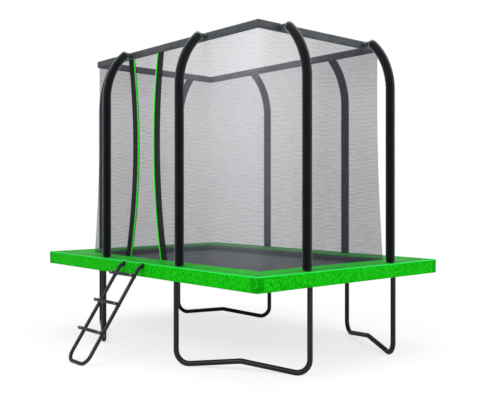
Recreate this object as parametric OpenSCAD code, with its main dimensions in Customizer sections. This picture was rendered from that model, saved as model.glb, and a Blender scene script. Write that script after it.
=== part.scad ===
// Rectangular garden trampoline with a padded frame, an inside safety net on eight
// curved poles, four W-shaped legs and a hook-on ladder. Millimetres, +Z up, +X along
// the long side, -Y towards the ladder. The origin is on the ground under the centre.

/* [Deck] */
// Length over the outer edges of the spring pads
pad_l = 3100; // [2700:10:3700]
// Width over the outer edges of the spring pads
pad_w = 2153; // [1950:1:2600]
// Height of the pads' top above the ground
deck_h = 782; // [720:1:900]
// Thickness of a spring pad
pad_t = 38; // [30:1:42]
// Width of a spring pad, from its outer to its inner edge
pad_band = 300; // [270:5:340]
// Thickness of the cover round the foam of a pad
cover_t = 2; // [1.5:0.5:3]
// Depth of the skirt, measured from the pads' top
skirt_drop = 114; // [100:1:125]
// Thickness of the skirt
skirt_t = 3; // [2:0.5:5]
// Outer corner radius of the pads and the skirt, seen from above
corner_r = 25; // [15:5:60]

/* [Frame] */
// Outer diameter of the rail and leg tubes
tube_d = 42; // [38:1:46]
// Wall of the rail and leg tubes
tube_wall = 2; // [1.5:0.5:3]
// Distance of the rails' centre line from the pads' outer edge
rail_inset = 45; // [40:1:60]
// Centre-line radius of the bend at each corner of the frame
rail_bend_r = 80; // [60:5:120]
// Wall of the T-joint sleeve round the rails
sleeve_wall = 2; // [1.5:0.5:3]
// Length of a T-joint sleeve along the rail
sleeve_l = 120; // [100:5:124]
// Length of a T-joint's stub down into its leg, from the rail's centre line
leg_stub_l = 90; // [70:5:110]
// Length of a T-joint's stub up into its pole, from the rail's centre line
pole_stub_l = 160; // [100:5:200]

/* [Legs] */
// Centre-line radius of the bends at the foot of a leg
leg_bend_r = 105; // [80:5:140]
// Slope of the bottom bar up to its middle, in degrees
leg_slope = 7; // [3:0.5:10]

/* [Poles] */
// Distance of the front and back poles from the middle of their side
pole_x = 553; // [500:1:620]
// Distance of the end poles from the middle of their side
pole_y = 502; // [460:1:530]
// Distance of a pole's centre from the pads' outer edge
pole_inset = 74; // [70:1:84]
// Outer diameter of a pole tube
pole_d = 38; // [32:1:40]
// Wall of a pole tube
pole_wall = 1.5; // [1:0.5:2]
// Outer diameter of the foam sleeve round a pole
foam_d = 78; // [64:1:86]
// Height where the bend of a pole starts
bend_start = 2224; // [2000:1:2400]
// Centre-line radius of the bend
bend_r = 550; // [450:10:650]
// Angle that a pole turns inwards, in degrees
bend_angle = 50; // [40:1:55]
// Height of the joint between the lower and the upper tube of a pole
joint_h = 1450; // [1200:10:1800]

/* [Net] */
// Half the length of the net, at its top
net_top_x = 1173; // [1050:1:1190]
// Half the width of the net, at its top
net_top_y = 718; // [620:1:735]
// Half the length of the net, at its bottom
net_bottom_x = 1210; // [1100:1:1225]
// Half the width of the net, at its bottom
net_bottom_y = 750; // [650:1:757]
// Thickness of the net
net_t = 3; // [2:0.5:4]
// Width of a net strand
strand = 9; // [6:1:14]
// Width of the hem round a net panel
hem = 30; // [20:1:50]
// Rows of meshes in each net panel
net_rows = 8; // [4:1:8]
// Height of the band that holds the top ring
band_h = 68; // [56:1:76]
// Thickness of the band
band_t = 30; // [26:1:36]
// Height of the top ring's centre above the ends of the poles
ring_rise = 4; // [-8:1:8]
// Outer diameter of the ring tubes
ring_d = 19; // [16:1:22]

/* [Door] */
// Middle of the left door edge along the front side
door_left = -451; // [-520:1:-430]
// Middle of the right door edge along the front side
door_right = -222; // [-240:1:-150]
// Radius of the left door edge's curve
door_left_r = 5600; // [5000:100:6200]
// Radius of the right door edge's curve
door_right_r = 4000; // [3800:100:6200]
// Height of the middle of the left edge's curve
door_left_h = 1700; // [1600:10:1900]
// Height of the middle of the right edge's curve
door_right_h = 1890; // [1600:10:1900]
// Width of the webbing along each door edge
door_band_w = 100; // [80:1:110]
// Width of the piping on the webbing's edge
piping_w = 18; // [8:1:24]
// Thickness of the webbing, and of the piping on it
webbing_t = 3; // [2:0.5:4]

/* [Mat and springs] */
// Distance from the rails' centre line to the mat's edge
spring_gap = 215; // [200:1:225]
// Thickness of the mat
mat_t = 2.5; // [2:0.5:4]
// Width of the webbing round the mat
mat_border_w = 50; // [40:1:70]
// Outer diameter of a spring's coil
coil_d = 22; // [18:1:24]
// Wire diameter of the springs and thickness of the V-rings
wire_d = 4; // [3:0.5:4]

/* [Ladder] */
// Outer diameter of the ladder's side tubes
ladder_d = 30; // [26:1:32]
// Half the distance between the side tubes
ladder_half = 145; // [130:1:150]
// Angle between the ladder and the vertical, in degrees
ladder_slope = 34.1; // [28:0.1:38]
// Radius of the bend below each hook
hook_bend_r = 60; // [50:5:80]
// How far a hook wraps past the top of the rail, in degrees
hook_wrap = 115; // [90:5:130]
// Radius of the bends at the ladder's foot
foot_bend_r = 80; // [60:5:100]
// Outer diameter of a rung
rung_d = 28; // [24:1:32]
// Length of a rung
rung_l = 366; // [340:2:400]
// Distance down the slope to the first rung
rung_first = 68; // [60:1:90]
// Distance between rungs
rung_step = 264; // [230:1:270]
// How far the ladder can swing out from the rail before its hooks meet the pad, in degrees
ladder_swing = 9; // [0:1:9]

/* [Hidden] */
$fn = 64;

// Clearances
fit = 0.3;          // between pieces that sit on or in each other
slip = 0.2;         // round foam in its cover and screws in their holes
cut = 1;            // how far a cutting shape runs past a face
swell = 0.2;        // how much fuller a bend is than a straight that runs into it
run_in = 1.5;       // how far a straight runs into a bend
reveal = 3;         // step or margin at an edge, a hole or a bolt's end
seam_turn = 45;     // turns a straight's seam line away from the bend's

// Colours
black_steel = [0.10, 0.10, 0.11];
slate = [0.16, 0.18, 0.20];
lime = [0.03, 0.72, 0.02];
zinc = [0.70, 0.71, 0.73];
net_grey = [0.35, 0.35, 0.38];
mat_black = [0.09, 0.09, 0.10];

// Deck
half_l = pad_l / 2;
half_w = pad_w / 2;
pad_bottom = deck_h - pad_t;
sleeve_r = tube_d / 2 + fit + sleeve_wall;
rail_z = pad_bottom - fit - sleeve_r;
rail_x = half_l - rail_inset;
rail_y = half_w - rail_inset;
tube_r = tube_d / 2;
pole_offset = pole_inset - rail_inset;
skirt_z = deck_h - skirt_drop;

// Each side in turn: front, right, back, left
function is_long(k) = k % 2 == 0;
function half_along(k) = is_long(k) ? half_l : half_w;
function half_out(k) = is_long(k) ? half_w : half_l;
function rail_along(k) = is_long(k) ? rail_x : rail_y;
function rail_out(k) = is_long(k) ? rail_y : rail_x;
function pole_along(k) = is_long(k) ? pole_x : pole_y;

// Pole places: distance along the side, then the side's number
POLES = [
    [-pole_x, 0], [pole_x, 0], [-pole_y, 1], [pole_y, 1],
    [-pole_x, 2], [pole_x, 2], [-pole_y, 3], [pole_y, 3]
];

// Springs: a pole stands midway between two of them
springs_to_pole = 4;
corner_clear = 100;
function spring_pitch(k) = pole_along(k) / springs_to_pole;
function mat_along(k) = rail_along(k) - spring_gap;
function mat_out(k) = rail_out(k) - spring_gap;
function springs_half(k) = floor((mat_along(k) - corner_clear) / spring_pitch(k) + 0.5);
function spring_x(k) =
    [for (i = [-springs_half(k) : springs_half(k) - 1]) (i + 0.5) * spring_pitch(k)];
function strap_x(k) = [for (i = [-6, -2, 0, 2, 6]) i * spring_pitch(k)];

mat_top = rail_z + mat_t / 2;
border_t = wire_d + 2;
ring_reach = 26;        // how far a V-ring stands out of the webbing
ring_grip = 12;         // how deep it sits in the webbing
hook_l = 14;            // straight wire between a coil and its hook
hook_y = spring_gap - ring_grip;
coil_start = tube_r + hook_l;
coil_end = hook_y - hook_l;
hook_drop = 9;          // how far the wire goes down into the rail
hook_reach = 16;        // and down through a V-ring
slot_h = 10;
slot_w = 8;

// Pole tip
tip_in = bend_r * (1 - cos(bend_angle));
tip_z = bend_start + bend_r * sin(bend_angle);
pole_r = pole_d / 2;
stub_top = rail_z + pole_stub_l;

// Net plane of each side, from the band down to the mat's edge
net_clear = 8;          // from the mat's top to the net's foot
ring_z = floor(tip_z) + ring_rise;
band_z = ring_z - band_h / 2;
net_bottom = mat_top + net_clear;
function net_out(k) = is_long(k) ? net_top_y : net_top_x;
function net_along(k) = is_long(k) ? net_top_x : net_top_y;
function net_low_out(k) = is_long(k) ? net_bottom_y : net_bottom_x;
function net_low_along(k) = is_long(k) ? net_bottom_x : net_bottom_y;
function net_tilt(k) = atan((net_low_out(k) - net_out(k)) / (band_z - net_bottom));
function net_h(k) = (band_z - net_bottom) / cos(net_tilt(k));
corner_gap = net_t / 2 + slip;
flap_lap = 70;          // how far the door flap reaches behind each door edge

// Ladder
hook_r = tube_r + fit + ladder_d / 2;
hook_flat = rail_inset - 2;
hook_turn = 90 - ladder_slope;
slope_y = hook_flat + hook_bend_r * sin(hook_turn);
slope_z = hook_r - hook_bend_r * (1 - cos(hook_turn));
slope_l = floor(10 * (rail_z + slope_z - ladder_d / 2) / cos(ladder_slope)) / 10;
ladder_wall = 1.5;
rung_off = ladder_d / 2 + rung_d / 2 + fit;
RUNGS = [for (i = [0 : 2]) rung_first + i * rung_step];
bolt_d = 6;
head_t = 4;

// ---------------------------------------------------------------- placing

// Puts children on a side: X along it, +Y towards the middle, Y = 0 at this distance out
module on_side(k, out) rotate([0, 0, 90 * k]) translate([0, -out, 0]) children();

// Puts children at each pole's place on the rail's centre line
module at_poles()
    for (p = POLES) on_side(p[1], rail_out(p[1])) translate([p[0], 0, 0]) children();

// Puts children at each end of a pole's bend: X inwards, Z up, turned to the tip
module at_tip() translate([tip_in, 0, tip_z]) rotate([0, bend_angle, 0]) children();

// ---------------------------------------------------------------- shapes

// Round bar along X from x0 to x1
module bar_x(x0, x1, r) translate([x0, 0, 0]) rotate([0, 90, 0]) cylinder(h = x1 - x0, r = r);

// Round bar along Y from y0 to y1
module bar_y(y0, y1, r) translate([0, y0, 0]) rotate([-90, 0, 0]) cylinder(h = y1 - y0, r = r);

// Part of a ring in the XZ plane, from angle a0 to a1, 0 at +X and 90 at +Z
module bend(ring_r, r, a0, a1)
    rotate([90, 0, 0]) rotate_extrude(angle = a1 - a0, start = a0) translate([ring_r, 0]) circle(r);

// Rectangle with round corners about the origin
module rounded_plan(hx, hy, r) {
    square([2 * (hx - r), 2 * hy], center = true);
    square([2 * hx, 2 * (hy - r)], center = true);
    for (sx = [-1, 1], sy = [-1, 1]) translate([sx * (hx - r), sy * (hy - r)]) circle(r);
}

// Plan of one mitred side of the deck, drawn back from its mitres by inset
module mitre_plan(k, depth, inset)
    polygon([
        [-half_along(k) + inset, 0], [half_along(k) - inset, 0],
        [half_along(k) - inset - depth, depth], [-half_along(k) + inset + depth, depth]
    ]);

// ---------------------------------------------------------------- frame

// Slots in the rails of side k that the springs hook into
module spring_slots(k)
    on_side(k, rail_out(k))
        for (x = spring_x(k))
            translate([x - slot_w / 2, 0, rail_z - slot_h / 2]) cube([slot_w, tube_d, slot_h]);

// Holes for the screws of the T-joints
module frame_screw_holes()
    at_poles()
        for (x = [-1, 1] * sleeve_l / 3)
            translate([x, 0, rail_z]) bar_y(-tube_d, 0, bolt_d / 2 + slip);

module straight_rail(k)
    difference() {
        on_side(k, rail_out(k)) translate([0, 0, rail_z]) difference() {
            bar_x(-pole_along(k) + fit, pole_along(k) - fit, tube_r);
            bar_x(-pole_along(k), pole_along(k), tube_r - tube_wall);
        }
        spring_slots(k);
        frame_screw_holes();
    }

module long_rails() color(black_steel) { straight_rail(0); straight_rail(2); }
module short_rails() color(black_steel) { straight_rail(1); straight_rail(3); }

// Corner piece in the quadrant +X -Y, from the front pole to the side pole
module corner_path(r, over) {
    translate([0, -rail_y, 0]) bar_x(pole_x + fit - over, rail_x - rail_bend_r, r);
    translate([rail_x, 0, 0]) bar_y(-rail_y + rail_bend_r, -pole_y - fit + over, r);
    translate([rail_x - rail_bend_r, -rail_y + rail_bend_r, 0])
        rotate([0, 0, -90]) rotate_extrude(angle = 90) translate([rail_bend_r, 0]) circle(r);
}

module corner_rails() color(black_steel)
    difference() {
        for (sx = [0, 1], sy = [0, 1])
            mirror([sx, 0, 0]) mirror([0, sy, 0]) translate([0, 0, rail_z]) difference() {
                corner_path(tube_r, 0);
                corner_path(tube_r - tube_wall, cut);
            }
        for (k = [0 : 3]) spring_slots(k);
        frame_screw_holes();
    }

// Sleeve round the rails, stub down into the leg and stub up into the pole, welded as one
stub_r = tube_r - tube_wall - fit;
pole_stub_r = pole_r - pole_wall - fit;
stub_foot = sleeve_r;
module t_joint()
    difference() {
        union() {
            bar_x(-sleeve_l / 2, sleeve_l / 2, sleeve_r);
            translate([0, 0, -leg_stub_l]) cylinder(h = leg_stub_l, r = stub_r);
            translate([0, pole_offset, -stub_foot])
                cylinder(h = stub_top - rail_z + stub_foot, r = pole_stub_r);
            translate([-pole_stub_r, 0, -stub_foot])
                cube([2 * pole_stub_r, pole_offset, 2 * sleeve_wall]);
        }
        bar_x(-sleeve_l, sleeve_l, tube_r + fit);
        translate([0, 0, -leg_stub_l - cut])
            cylinder(h = leg_stub_l, r = stub_r - 2 * tube_wall);
        translate([0, pole_offset, -stub_foot + 2 * sleeve_wall])
            cylinder(h = stub_top, r = pole_stub_r - 2 * pole_wall);
        for (x = [-1, 1] * sleeve_l / 3)
            translate([x, 0, 0]) bar_y(-tube_d, 0, bolt_d / 2 + slip);
        translate([0, 0, leg_screw_z]) bar_y(-tube_d, 0, bolt_d / 2 + slip);
    }
module t_joints() color(black_steel) at_poles() translate([0, 0, rail_z]) t_joint();

// Hexagon-headed screw along Y, its head outside and flat against y = 0
hex_r = 6.5;
module screw(len) {
    rotate([90, 0, 0]) cylinder(h = head_t, r = hex_r, $fn = 6);
    bar_y(0, len, bolt_d / 2);
}
screw_l = 9;
module frame_screws() color(zinc)
    at_poles() for (x = [-1, 1] * sleeve_l / 3)
        translate([x, -sleeve_r, rail_z]) screw(screw_l);

// ---------------------------------------------------------------- legs

leg_top = -sleeve_r - fit;
leg_screw_z = leg_top - 18;
module leg_half(span, r, over) {
    ground_z = leg_bend_r + tube_r;
    post = rail_z + leg_top - ground_z + over + run_in;
    across = span / 2 - leg_bend_r * (1 + 2 * sin(leg_slope));
    translate([0, 0, ground_z - run_in]) rotate(seam_turn) cylinder(h = post, r = r);
    translate([leg_bend_r, 0, ground_z]) bend(leg_bend_r, r + swell, 180, 270 + leg_slope);
    translate([leg_bend_r * (1 + sin(leg_slope)), 0, ground_z - leg_bend_r * cos(leg_slope)])
        rotate([0, 90 - leg_slope, 0]) translate([0, 0, -run_in])
            rotate(seam_turn) cylinder(h = across / cos(leg_slope) + 2 * run_in, r = r);
}

// Whole path of a leg: two posts, two bends and a bottom bar bent up in its middle
module leg_path(span, r, over) {
    across = span / 2 - leg_bend_r * (1 + 2 * sin(leg_slope));
    rise = leg_bend_r * (1 - cos(leg_slope)) + across * tan(leg_slope);
    leg_half(span, r, over);
    translate([span, 0, 0]) mirror([1, 0, 0]) leg_half(span, r, over);
    translate([span / 2, 0, tube_r + rise - leg_bend_r * cos(leg_slope)])
        bend(leg_bend_r, r + swell, 90 - leg_slope, 90 + leg_slope);
}

// Leg across the corner in the quadrant +X -Y, before it is mirrored to the others
module leg(sx, sy) {
    dx = rail_x - pole_x;
    dy = rail_y - pole_y;
    span = sqrt(dx * dx + dy * dy);
    mirror([sx, 0, 0]) mirror([0, sy, 0])
        difference() {
            translate([pole_x, -rail_y, 0]) rotate([0, 0, atan2(dy, dx)]) difference() {
                leg_path(span, tube_r, 0);
                leg_path(span, tube_r - tube_wall, cut);
            }
            translate([pole_x, -rail_y, rail_z + leg_screw_z]) bar_y(-tube_d, 0, bolt_d / 2 + slip);
            translate([rail_x, -pole_y, rail_z + leg_screw_z])
                rotate([0, 0, 90]) bar_y(-tube_d, 0, bolt_d / 2 + slip);
        }
}
module leg_front_right() color(black_steel) leg(0, 0);
module leg_back_right() color(black_steel) leg(0, 1);
module leg_back_left() color(black_steel) leg(1, 1);
module leg_front_left() color(black_steel) leg(1, 0);

module leg_screws() color(zinc)
    at_poles() translate([0, -tube_r, rail_z + leg_screw_z]) screw(screw_l);

// ---------------------------------------------------------------- poles

// Puts children on each pole's axis with X turned inwards
module on_poles() at_poles() translate([0, pole_offset, 0]) rotate([0, 0, 90]) children();

// Straight part and bend of a pole, from height z0, over a radius r
module upper_path(z0, r, over) {
    translate([0, 0, z0 - over]) cylinder(h = bend_start - z0 + over, r = r);
    translate([bend_r, 0, bend_start]) bend(bend_r, r, 180 - bend_angle - min(over, 1), 180);
}

// The upper tube is drawn in at its foot and sits in the lower one
swage_l = 60;
swage_r = pole_r - pole_wall - fit;
module lower_poles() color(black_steel)
    on_poles() translate([0, 0, pole_bottom]) difference() {
        cylinder(h = joint_h - pole_bottom, r = pole_r);
        translate([0, 0, -cut])
            cylinder(h = joint_h - pole_bottom + 2 * cut, r = pole_r - pole_wall);
    }
pole_bottom = rail_z + sleeve_r + fit;

module upper_poles() color(black_steel)
    on_poles() difference() {
        union() {
            upper_path(joint_h + fit, pole_r, 0);
            translate([0, 0, joint_h - swage_l]) cylinder(h = 2 * swage_l, r = swage_r);
        }
        upper_path(joint_h + fit, pole_r - 2 * pole_wall, swage_l + cut);
    }

foam_r = foam_d / 2;
foam_bore = pole_r + fit;
module lower_foams() color(slate)
    on_poles() translate([0, 0, deck_h + fit]) difference() {
        cylinder(h = joint_h - deck_h - fit, r = foam_r);
        translate([0, 0, -cut]) cylinder(h = joint_h - deck_h + 2 * cut, r = foam_bore);
    }
module upper_foams() color(slate)
    on_poles() difference() {
        upper_path(joint_h, foam_r, 0);
        upper_path(joint_h, foam_bore, cut);
    }

// Plug and disc that close a pole, a knuckle on its end and a tongue that reaches the band
cap_t = 6;
plug_l = 14;
knuckle_r = foam_r - 2 * reveal;
knuckle_l = 18;
knuckle_drop = 12;
tongue_r = 20;
function tongue_end(k) = half_out(k) - pole_inset - net_out(k) - band_t / 2;
module pole_cap(k) {
    at_tip() translate([0, 0, -plug_l])
        cylinder(h = plug_l + cap_t, r = pole_r - 2 * pole_wall - fit);
    at_tip() translate([0, 0, fit]) cylinder(h = cap_t, r = foam_r - reveal);
    difference() {
        translate([0, 0, ring_z]) bar_x(tip_in, tongue_end(k) - fit, tongue_r);
        translate([0, 0, ring_z - knuckle_drop])
            bar_x(tip_in - knuckle_r, tip_in + knuckle_l, knuckle_r);
        at_tip() translate([0, 0, fit - bend_r]) cylinder(h = bend_r, r = foam_d);
        translate([tongue_end(k) - tongue_bolt, 0, ring_z])
            bar_x(0, tongue_bolt, bolt_d / 2 + slip);
    }
}
tongue_bolt = 22;
module pole_caps() color(black_steel)
    for (p = POLES)
        on_side(p[1], half_out(p[1]) - pole_inset) translate([p[0], 0, 0])
            rotate([0, 0, 90]) pole_cap(p[1]);

// ---------------------------------------------------------------- top ring and band

elbow_l = 60;
elbow_grip = 50;
ring_wall = 1.5;

// Bolt from inside the band through the ring tube into a pole's cap
module ring_bolt_shank(r)
    rotate([0, 0, 180]) bar_y(-band_t / 2 - cut, band_t / 2 + tongue_bolt - reveal, r);
module ring_bolt_holes(k)
    on_side(k, net_out(k)) for (x = [-1, 1] * pole_along(k))
        translate([x, 0, ring_z]) ring_bolt_shank(bolt_d / 2 + slip);
module ring_bolts() color(zinc)
    for (k = [0 : 3]) on_side(k, net_out(k)) for (x = [-1, 1] * pole_along(k))
        translate([x, 0, ring_z]) {
            ring_bolt_shank(bolt_d / 2);
            translate([0, band_t / 2 + head_t, 0]) rotate([90, 0, 0])
                cylinder(h = head_t, r = hex_r, $fn = 6);
        }

module ring_tube(k)
    difference() {
        on_side(k, net_out(k)) translate([0, 0, ring_z]) difference() {
            bar_x(-net_along(k) + elbow_l, net_along(k) - elbow_l, ring_d / 2);
            bar_x(-net_along(k), net_along(k), ring_d / 2 - ring_wall);
        }
        ring_bolt_holes(k);
    }
module ring_tubes() color(black_steel) for (k = [0 : 3]) ring_tube(k);

// Elbow in the quadrant +X -Y
module elbow() {
    grip_r = ring_d / 2 - ring_wall - slip;
    translate([0, -net_top_y, 0]) {
        bar_x(net_top_x - elbow_l + slip, net_top_x, ring_d / 2);
        bar_x(net_top_x - elbow_l - elbow_grip, net_top_x - elbow_l + cut, grip_r);
    }
    translate([net_top_x, 0, 0]) {
        bar_y(-net_top_y, -net_top_y + elbow_l - slip, ring_d / 2);
        bar_y(-net_top_y + elbow_l - cut, -net_top_y + elbow_l + elbow_grip, grip_r);
    }
    translate([net_top_x, -net_top_y, 0]) sphere(ring_d / 2);
}
module ring_elbows() color(black_steel)
    for (sx = [0, 1], sy = [0, 1])
        mirror([sx, 0, 0]) mirror([0, sy, 0]) translate([0, 0, ring_z]) elbow();

// Band: a tall sleeve with round top and bottom, mitred at its corners
module band_profile() {
    square([band_h - band_t, band_t], center = true);
    for (s = [-1, 1]) translate([s * (band_h - band_t) / 2, 0]) circle(d = band_t);
}
module band_mitre(k, inset) {
    a = net_along(k);
    t = band_t;
    translate([0, 0, band_z - cut]) linear_extrude(band_h + 2 * cut)
        polygon([
            [-a - t + inset, -t], [a + t - inset, -t],
            [a - t - inset, t], [-a + t + inset, t]
        ]);
}
module band(k)
    color(slate) difference() {
        on_side(k, net_out(k)) intersection() {
            translate([-half_l, 0, ring_z]) rotate([0, 90, 0])
                linear_extrude(2 * half_l) band_profile();
            band_mitre(k, slip);
        }
        on_side(k, net_out(k)) translate([0, 0, ring_z])
            bar_x(-half_l, half_l, ring_d / 2 + slip);
        ring_bolt_holes(k);
    }
module band_front() band(0);
module band_right() band(1);
module band_back() band(2);
module band_left() band(3);

// ---------------------------------------------------------------- net and door

// Stands a flat shape drawn in X and height, 0 at the band, on side k's net plane
module on_net(k, layer, t)
    on_side(k, net_out(k)) translate([0, 0, band_z]) rotate([-net_tilt(k), 0, 0])
        translate([0, layer, 0]) rotate([90, 0, 0]) linear_extrude(t, center = true) children();

// Outline of a whole net side, narrowed by inset all round
module net_outline(k, inset) {
    top = net_along(k) - corner_gap - inset;
    low = net_low_along(k) - corner_gap - inset;
    polygon([
        [-top, -inset], [top, -inset],
        [low, inset - net_h(k)], [-low, inset - net_h(k)]
    ]);
}

// Meshes between x0 and x1, in this many columns
module meshes(k, x0, x1, columns) {
    step_x = (x1 - x0 + strand) / columns;
    step_y = (net_h(k) - 2 * hem + strand) / net_rows;
    for (i = [0 : columns - 1], j = [1 : net_rows])
        translate([x0 + i * step_x, -hem + strand - j * step_y])
            square([step_x - strand, step_y - strand]);
}

module net_side(k, columns) color(net_grey)
    on_net(k, 0, net_t) difference() {
        net_outline(k, 0);
        meshes(k, hem - net_along(k) + corner_gap, net_along(k) - corner_gap - hem, columns);
    }
module net_right() net_side(1, 7);
module net_back() net_side(2, 11);
module net_left() net_side(3, 7);

// Discs whose rims are the two door edges, drawn in by inset
module left_edge(inset)
    translate([door_left - door_left_r, door_left_h - band_z])
        circle(r = door_left_r - inset, $fn = 360);
module right_edge(inset)
    translate([door_right + door_right_r, door_right_h - band_z])
        circle(r = door_right_r - inset, $fn = 360);

left_columns = 3;
right_columns = 6;
left_reach = door_left - 2 * hem;
right_reach = door_right + 2 * hem;
module net_front_left() color(net_grey)
    on_net(0, 0, net_t) difference() {
        intersection() { net_outline(0, 0); left_edge(0); }
        intersection() {
            meshes(0, hem - net_along(0) + corner_gap, left_reach, left_columns);
            left_edge(door_band_w);
        }
    }
module net_front_right() color(net_grey)
    on_net(0, 0, net_t) difference() {
        intersection() { net_outline(0, 0); right_edge(0); }
        intersection() {
            meshes(0, right_reach, net_along(0) - corner_gap - hem, right_columns);
            right_edge(door_band_w);
        }
    }

// The flap closes the door from inside, its sides a lap behind the two edges
flap_columns = 5;
flap_layer = net_t + 0.5;
flap_reach = flap_lap + 200;
module flap_outline(inset)
    difference() {
        translate([door_left - flap_reach, inset - net_h(0)])
            square([door_right - door_left + 2 * flap_reach, net_h(0) - fit - inset]);
        left_edge(flap_lap - inset);
        right_edge(flap_lap - inset);
    }
module net_door_flap() color(net_grey)
    on_net(0, flap_layer, net_t) difference() {
        flap_outline(0);
        intersection() {
            meshes(0, door_left - flap_reach, door_right + flap_reach, flap_columns);
            flap_outline(hem);
        }
    }

band_layer = -(net_t + webbing_t) / 2;
piping_layer = band_layer - webbing_t;
module door_bands() color(mat_black)
    on_net(0, band_layer, webbing_t) {
        intersection() {
            net_outline(0, webbing_t);
            difference() { left_edge(0); left_edge(door_band_w); }
            translate([-half_l, -half_l]) square([half_l, half_l]);
        }
        intersection() {
            net_outline(0, webbing_t);
            difference() { right_edge(0); right_edge(door_band_w); }
            translate([-half_l, -half_l]) square([half_l + net_bottom_x / 2, half_l]);
        }
    }
module door_piping() color(lime)
    on_net(0, piping_layer, webbing_t) {
        intersection() {
            net_outline(0, webbing_t);
            difference() { left_edge(0); left_edge(piping_w); }
            translate([-half_l, -half_l]) square([half_l, half_l]);
        }
        intersection() {
            net_outline(0, webbing_t);
            difference() { right_edge(0); right_edge(piping_w); }
            translate([-half_l, -half_l]) square([half_l + net_bottom_x / 2, half_l]);
        }
    }

// ---------------------------------------------------------------- pads and skirt

// Room for the ladder's two hooks, up to the underside of the cover's top
notch_half = ladder_d / 2 + reveal;
notch_in = hook_r + ladder_d / 2;
notch_low = rail_z + hook_r - ladder_d / 2 - swell - reveal / 2;
module hook_notches()
    for (x = [-1, 1] * ladder_half)
        translate([x - notch_half, -half_w - cut, notch_low])
            cube([2 * notch_half, rail_inset + notch_in + cut, deck_h - cover_t - notch_low]);

// Holes for the poles
module pole_holes()
    on_poles() translate([0, 0, pad_bottom - cut])
        cylinder(h = pad_t + 2 * cut, r = pole_r + cover_t);

// One side of the pads, drawn in by inset on every face
module pad_solid(k, inset)
    translate([0, 0, pad_bottom + inset]) linear_extrude(pad_t - 2 * inset)
        intersection() {
            rounded_plan(half_l - inset, half_w - inset, corner_r - inset);
            rotate(90 * k) translate([0, -half_out(k)])
                mitre_plan(k, pad_band - inset, inset * sqrt(2) + slip);
        }

module pad_cover(k) color(lime)
    difference() {
        pad_solid(k, 0);
        pad_solid(k, cover_t);
        pole_holes();
        hook_notches();
    }
module pad_cover_front() pad_cover(0);
module pad_cover_right() pad_cover(1);
module pad_cover_back() pad_cover(2);
module pad_cover_left() pad_cover(3);

module pad_foam(k) color([0.92, 0.92, 0.88])
    difference() {
        pad_solid(k, cover_t + slip);
        pole_holes();
        hook_notches();
    }
module pad_foam_front() pad_foam(0);
module pad_foam_right() pad_foam(1);
module pad_foam_back() pad_foam(2);
module pad_foam_left() pad_foam(3);

module skirt(k) color(lime)
    difference() {
        translate([0, 0, skirt_z]) linear_extrude(pad_bottom - skirt_z) intersection() {
            difference() {
                rounded_plan(half_l, half_w, corner_r);
                rounded_plan(half_l - skirt_t, half_w - skirt_t, corner_r - skirt_t);
            }
            rotate(90 * k) translate([0, -half_out(k)]) mitre_plan(k, pad_band, slip);
        }
        hook_notches();
    }
module skirt_front() skirt(0);
module skirt_right() skirt(1);
module skirt_back() skirt(2);
module skirt_left() skirt(3);

// Elastic straps that hold the pads down on the rails
strap_w = 20;
strap_t = 1.5;
module strap_profile() {
    reach = pad_bottom - rail_z;
    inner = tube_r + fit;
    difference() {
        union() {
            circle(inner + strap_t);
            translate([-inner - strap_t, 0]) square([2 * (inner + strap_t), reach]);
        }
        circle(inner);
        translate([-inner, 0]) square([2 * inner, reach + cut]);
    }
}
module pad_straps() color(mat_black)
    for (k = [0 : 3]) on_side(k, rail_out(k)) for (x = strap_x(k))
        translate([x - strap_w / 2, 0, rail_z]) rotate([90, 0, 90])
            linear_extrude(strap_w) strap_profile();

// ---------------------------------------------------------------- mat and springs

// Coil with a hook into the rail's slot and a hook down through a V-ring
wire_r = wire_d / 2;
rail_hook = tube_r - 8;
module spring() {
    lift = wire_r * 2 + 1;
    bar_y(coil_start, coil_end, coil_d / 2);
    bar_y(rail_hook - wire_r, coil_start + cut, wire_r, $fn = 8);
    translate([0, rail_hook, -hook_drop]) cylinder(h = hook_drop, r = wire_r, $fn = 8);
    translate([0, 0, lift]) bar_y(coil_end - cut, hook_y + wire_r, wire_r, $fn = 8);
    translate([0, hook_y, lift - hook_reach]) cylinder(h = hook_reach, r = wire_r, $fn = 8);
}
module springs(k) color(zinc)
    on_side(k, rail_out(k)) for (x = spring_x(k)) translate([x, 0, rail_z]) spring();
module springs_front() springs(0);
module springs_right() springs(1);
module springs_back() springs(2);
module springs_left() springs(3);

// Triangular loops in the edge of the mat
ring_half = 17;
module v_ring_plan() {
    difference() {
        polygon([
            [-ring_half, spring_gap + ring_grip], [ring_half, spring_gap + ring_grip],
            [wire_d, spring_gap - ring_reach], [-wire_d, spring_gap - ring_reach]
        ]);
        polygon([
            [-ring_half + 1.3 * wire_d, spring_gap + ring_grip - wire_d],
            [ring_half - 1.3 * wire_d, spring_gap + ring_grip - wire_d],
            [0, spring_gap - ring_reach + wire_d]
        ]);
    }
}
module v_rings() color(zinc)
    for (k = [0 : 3]) on_side(k, rail_out(k)) for (x = spring_x(k))
        translate([x, 0, rail_z - wire_r]) linear_extrude(wire_d) v_ring_plan();

mat_x = mat_along(0) - mat_border_w;
mat_y = mat_out(0) - mat_border_w;
module mat() color(mat_black)
    translate([-mat_x + slip, -mat_y + slip, rail_z - mat_t / 2])
        cube([2 * (mat_x - slip), 2 * (mat_y - slip), mat_t]);

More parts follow.
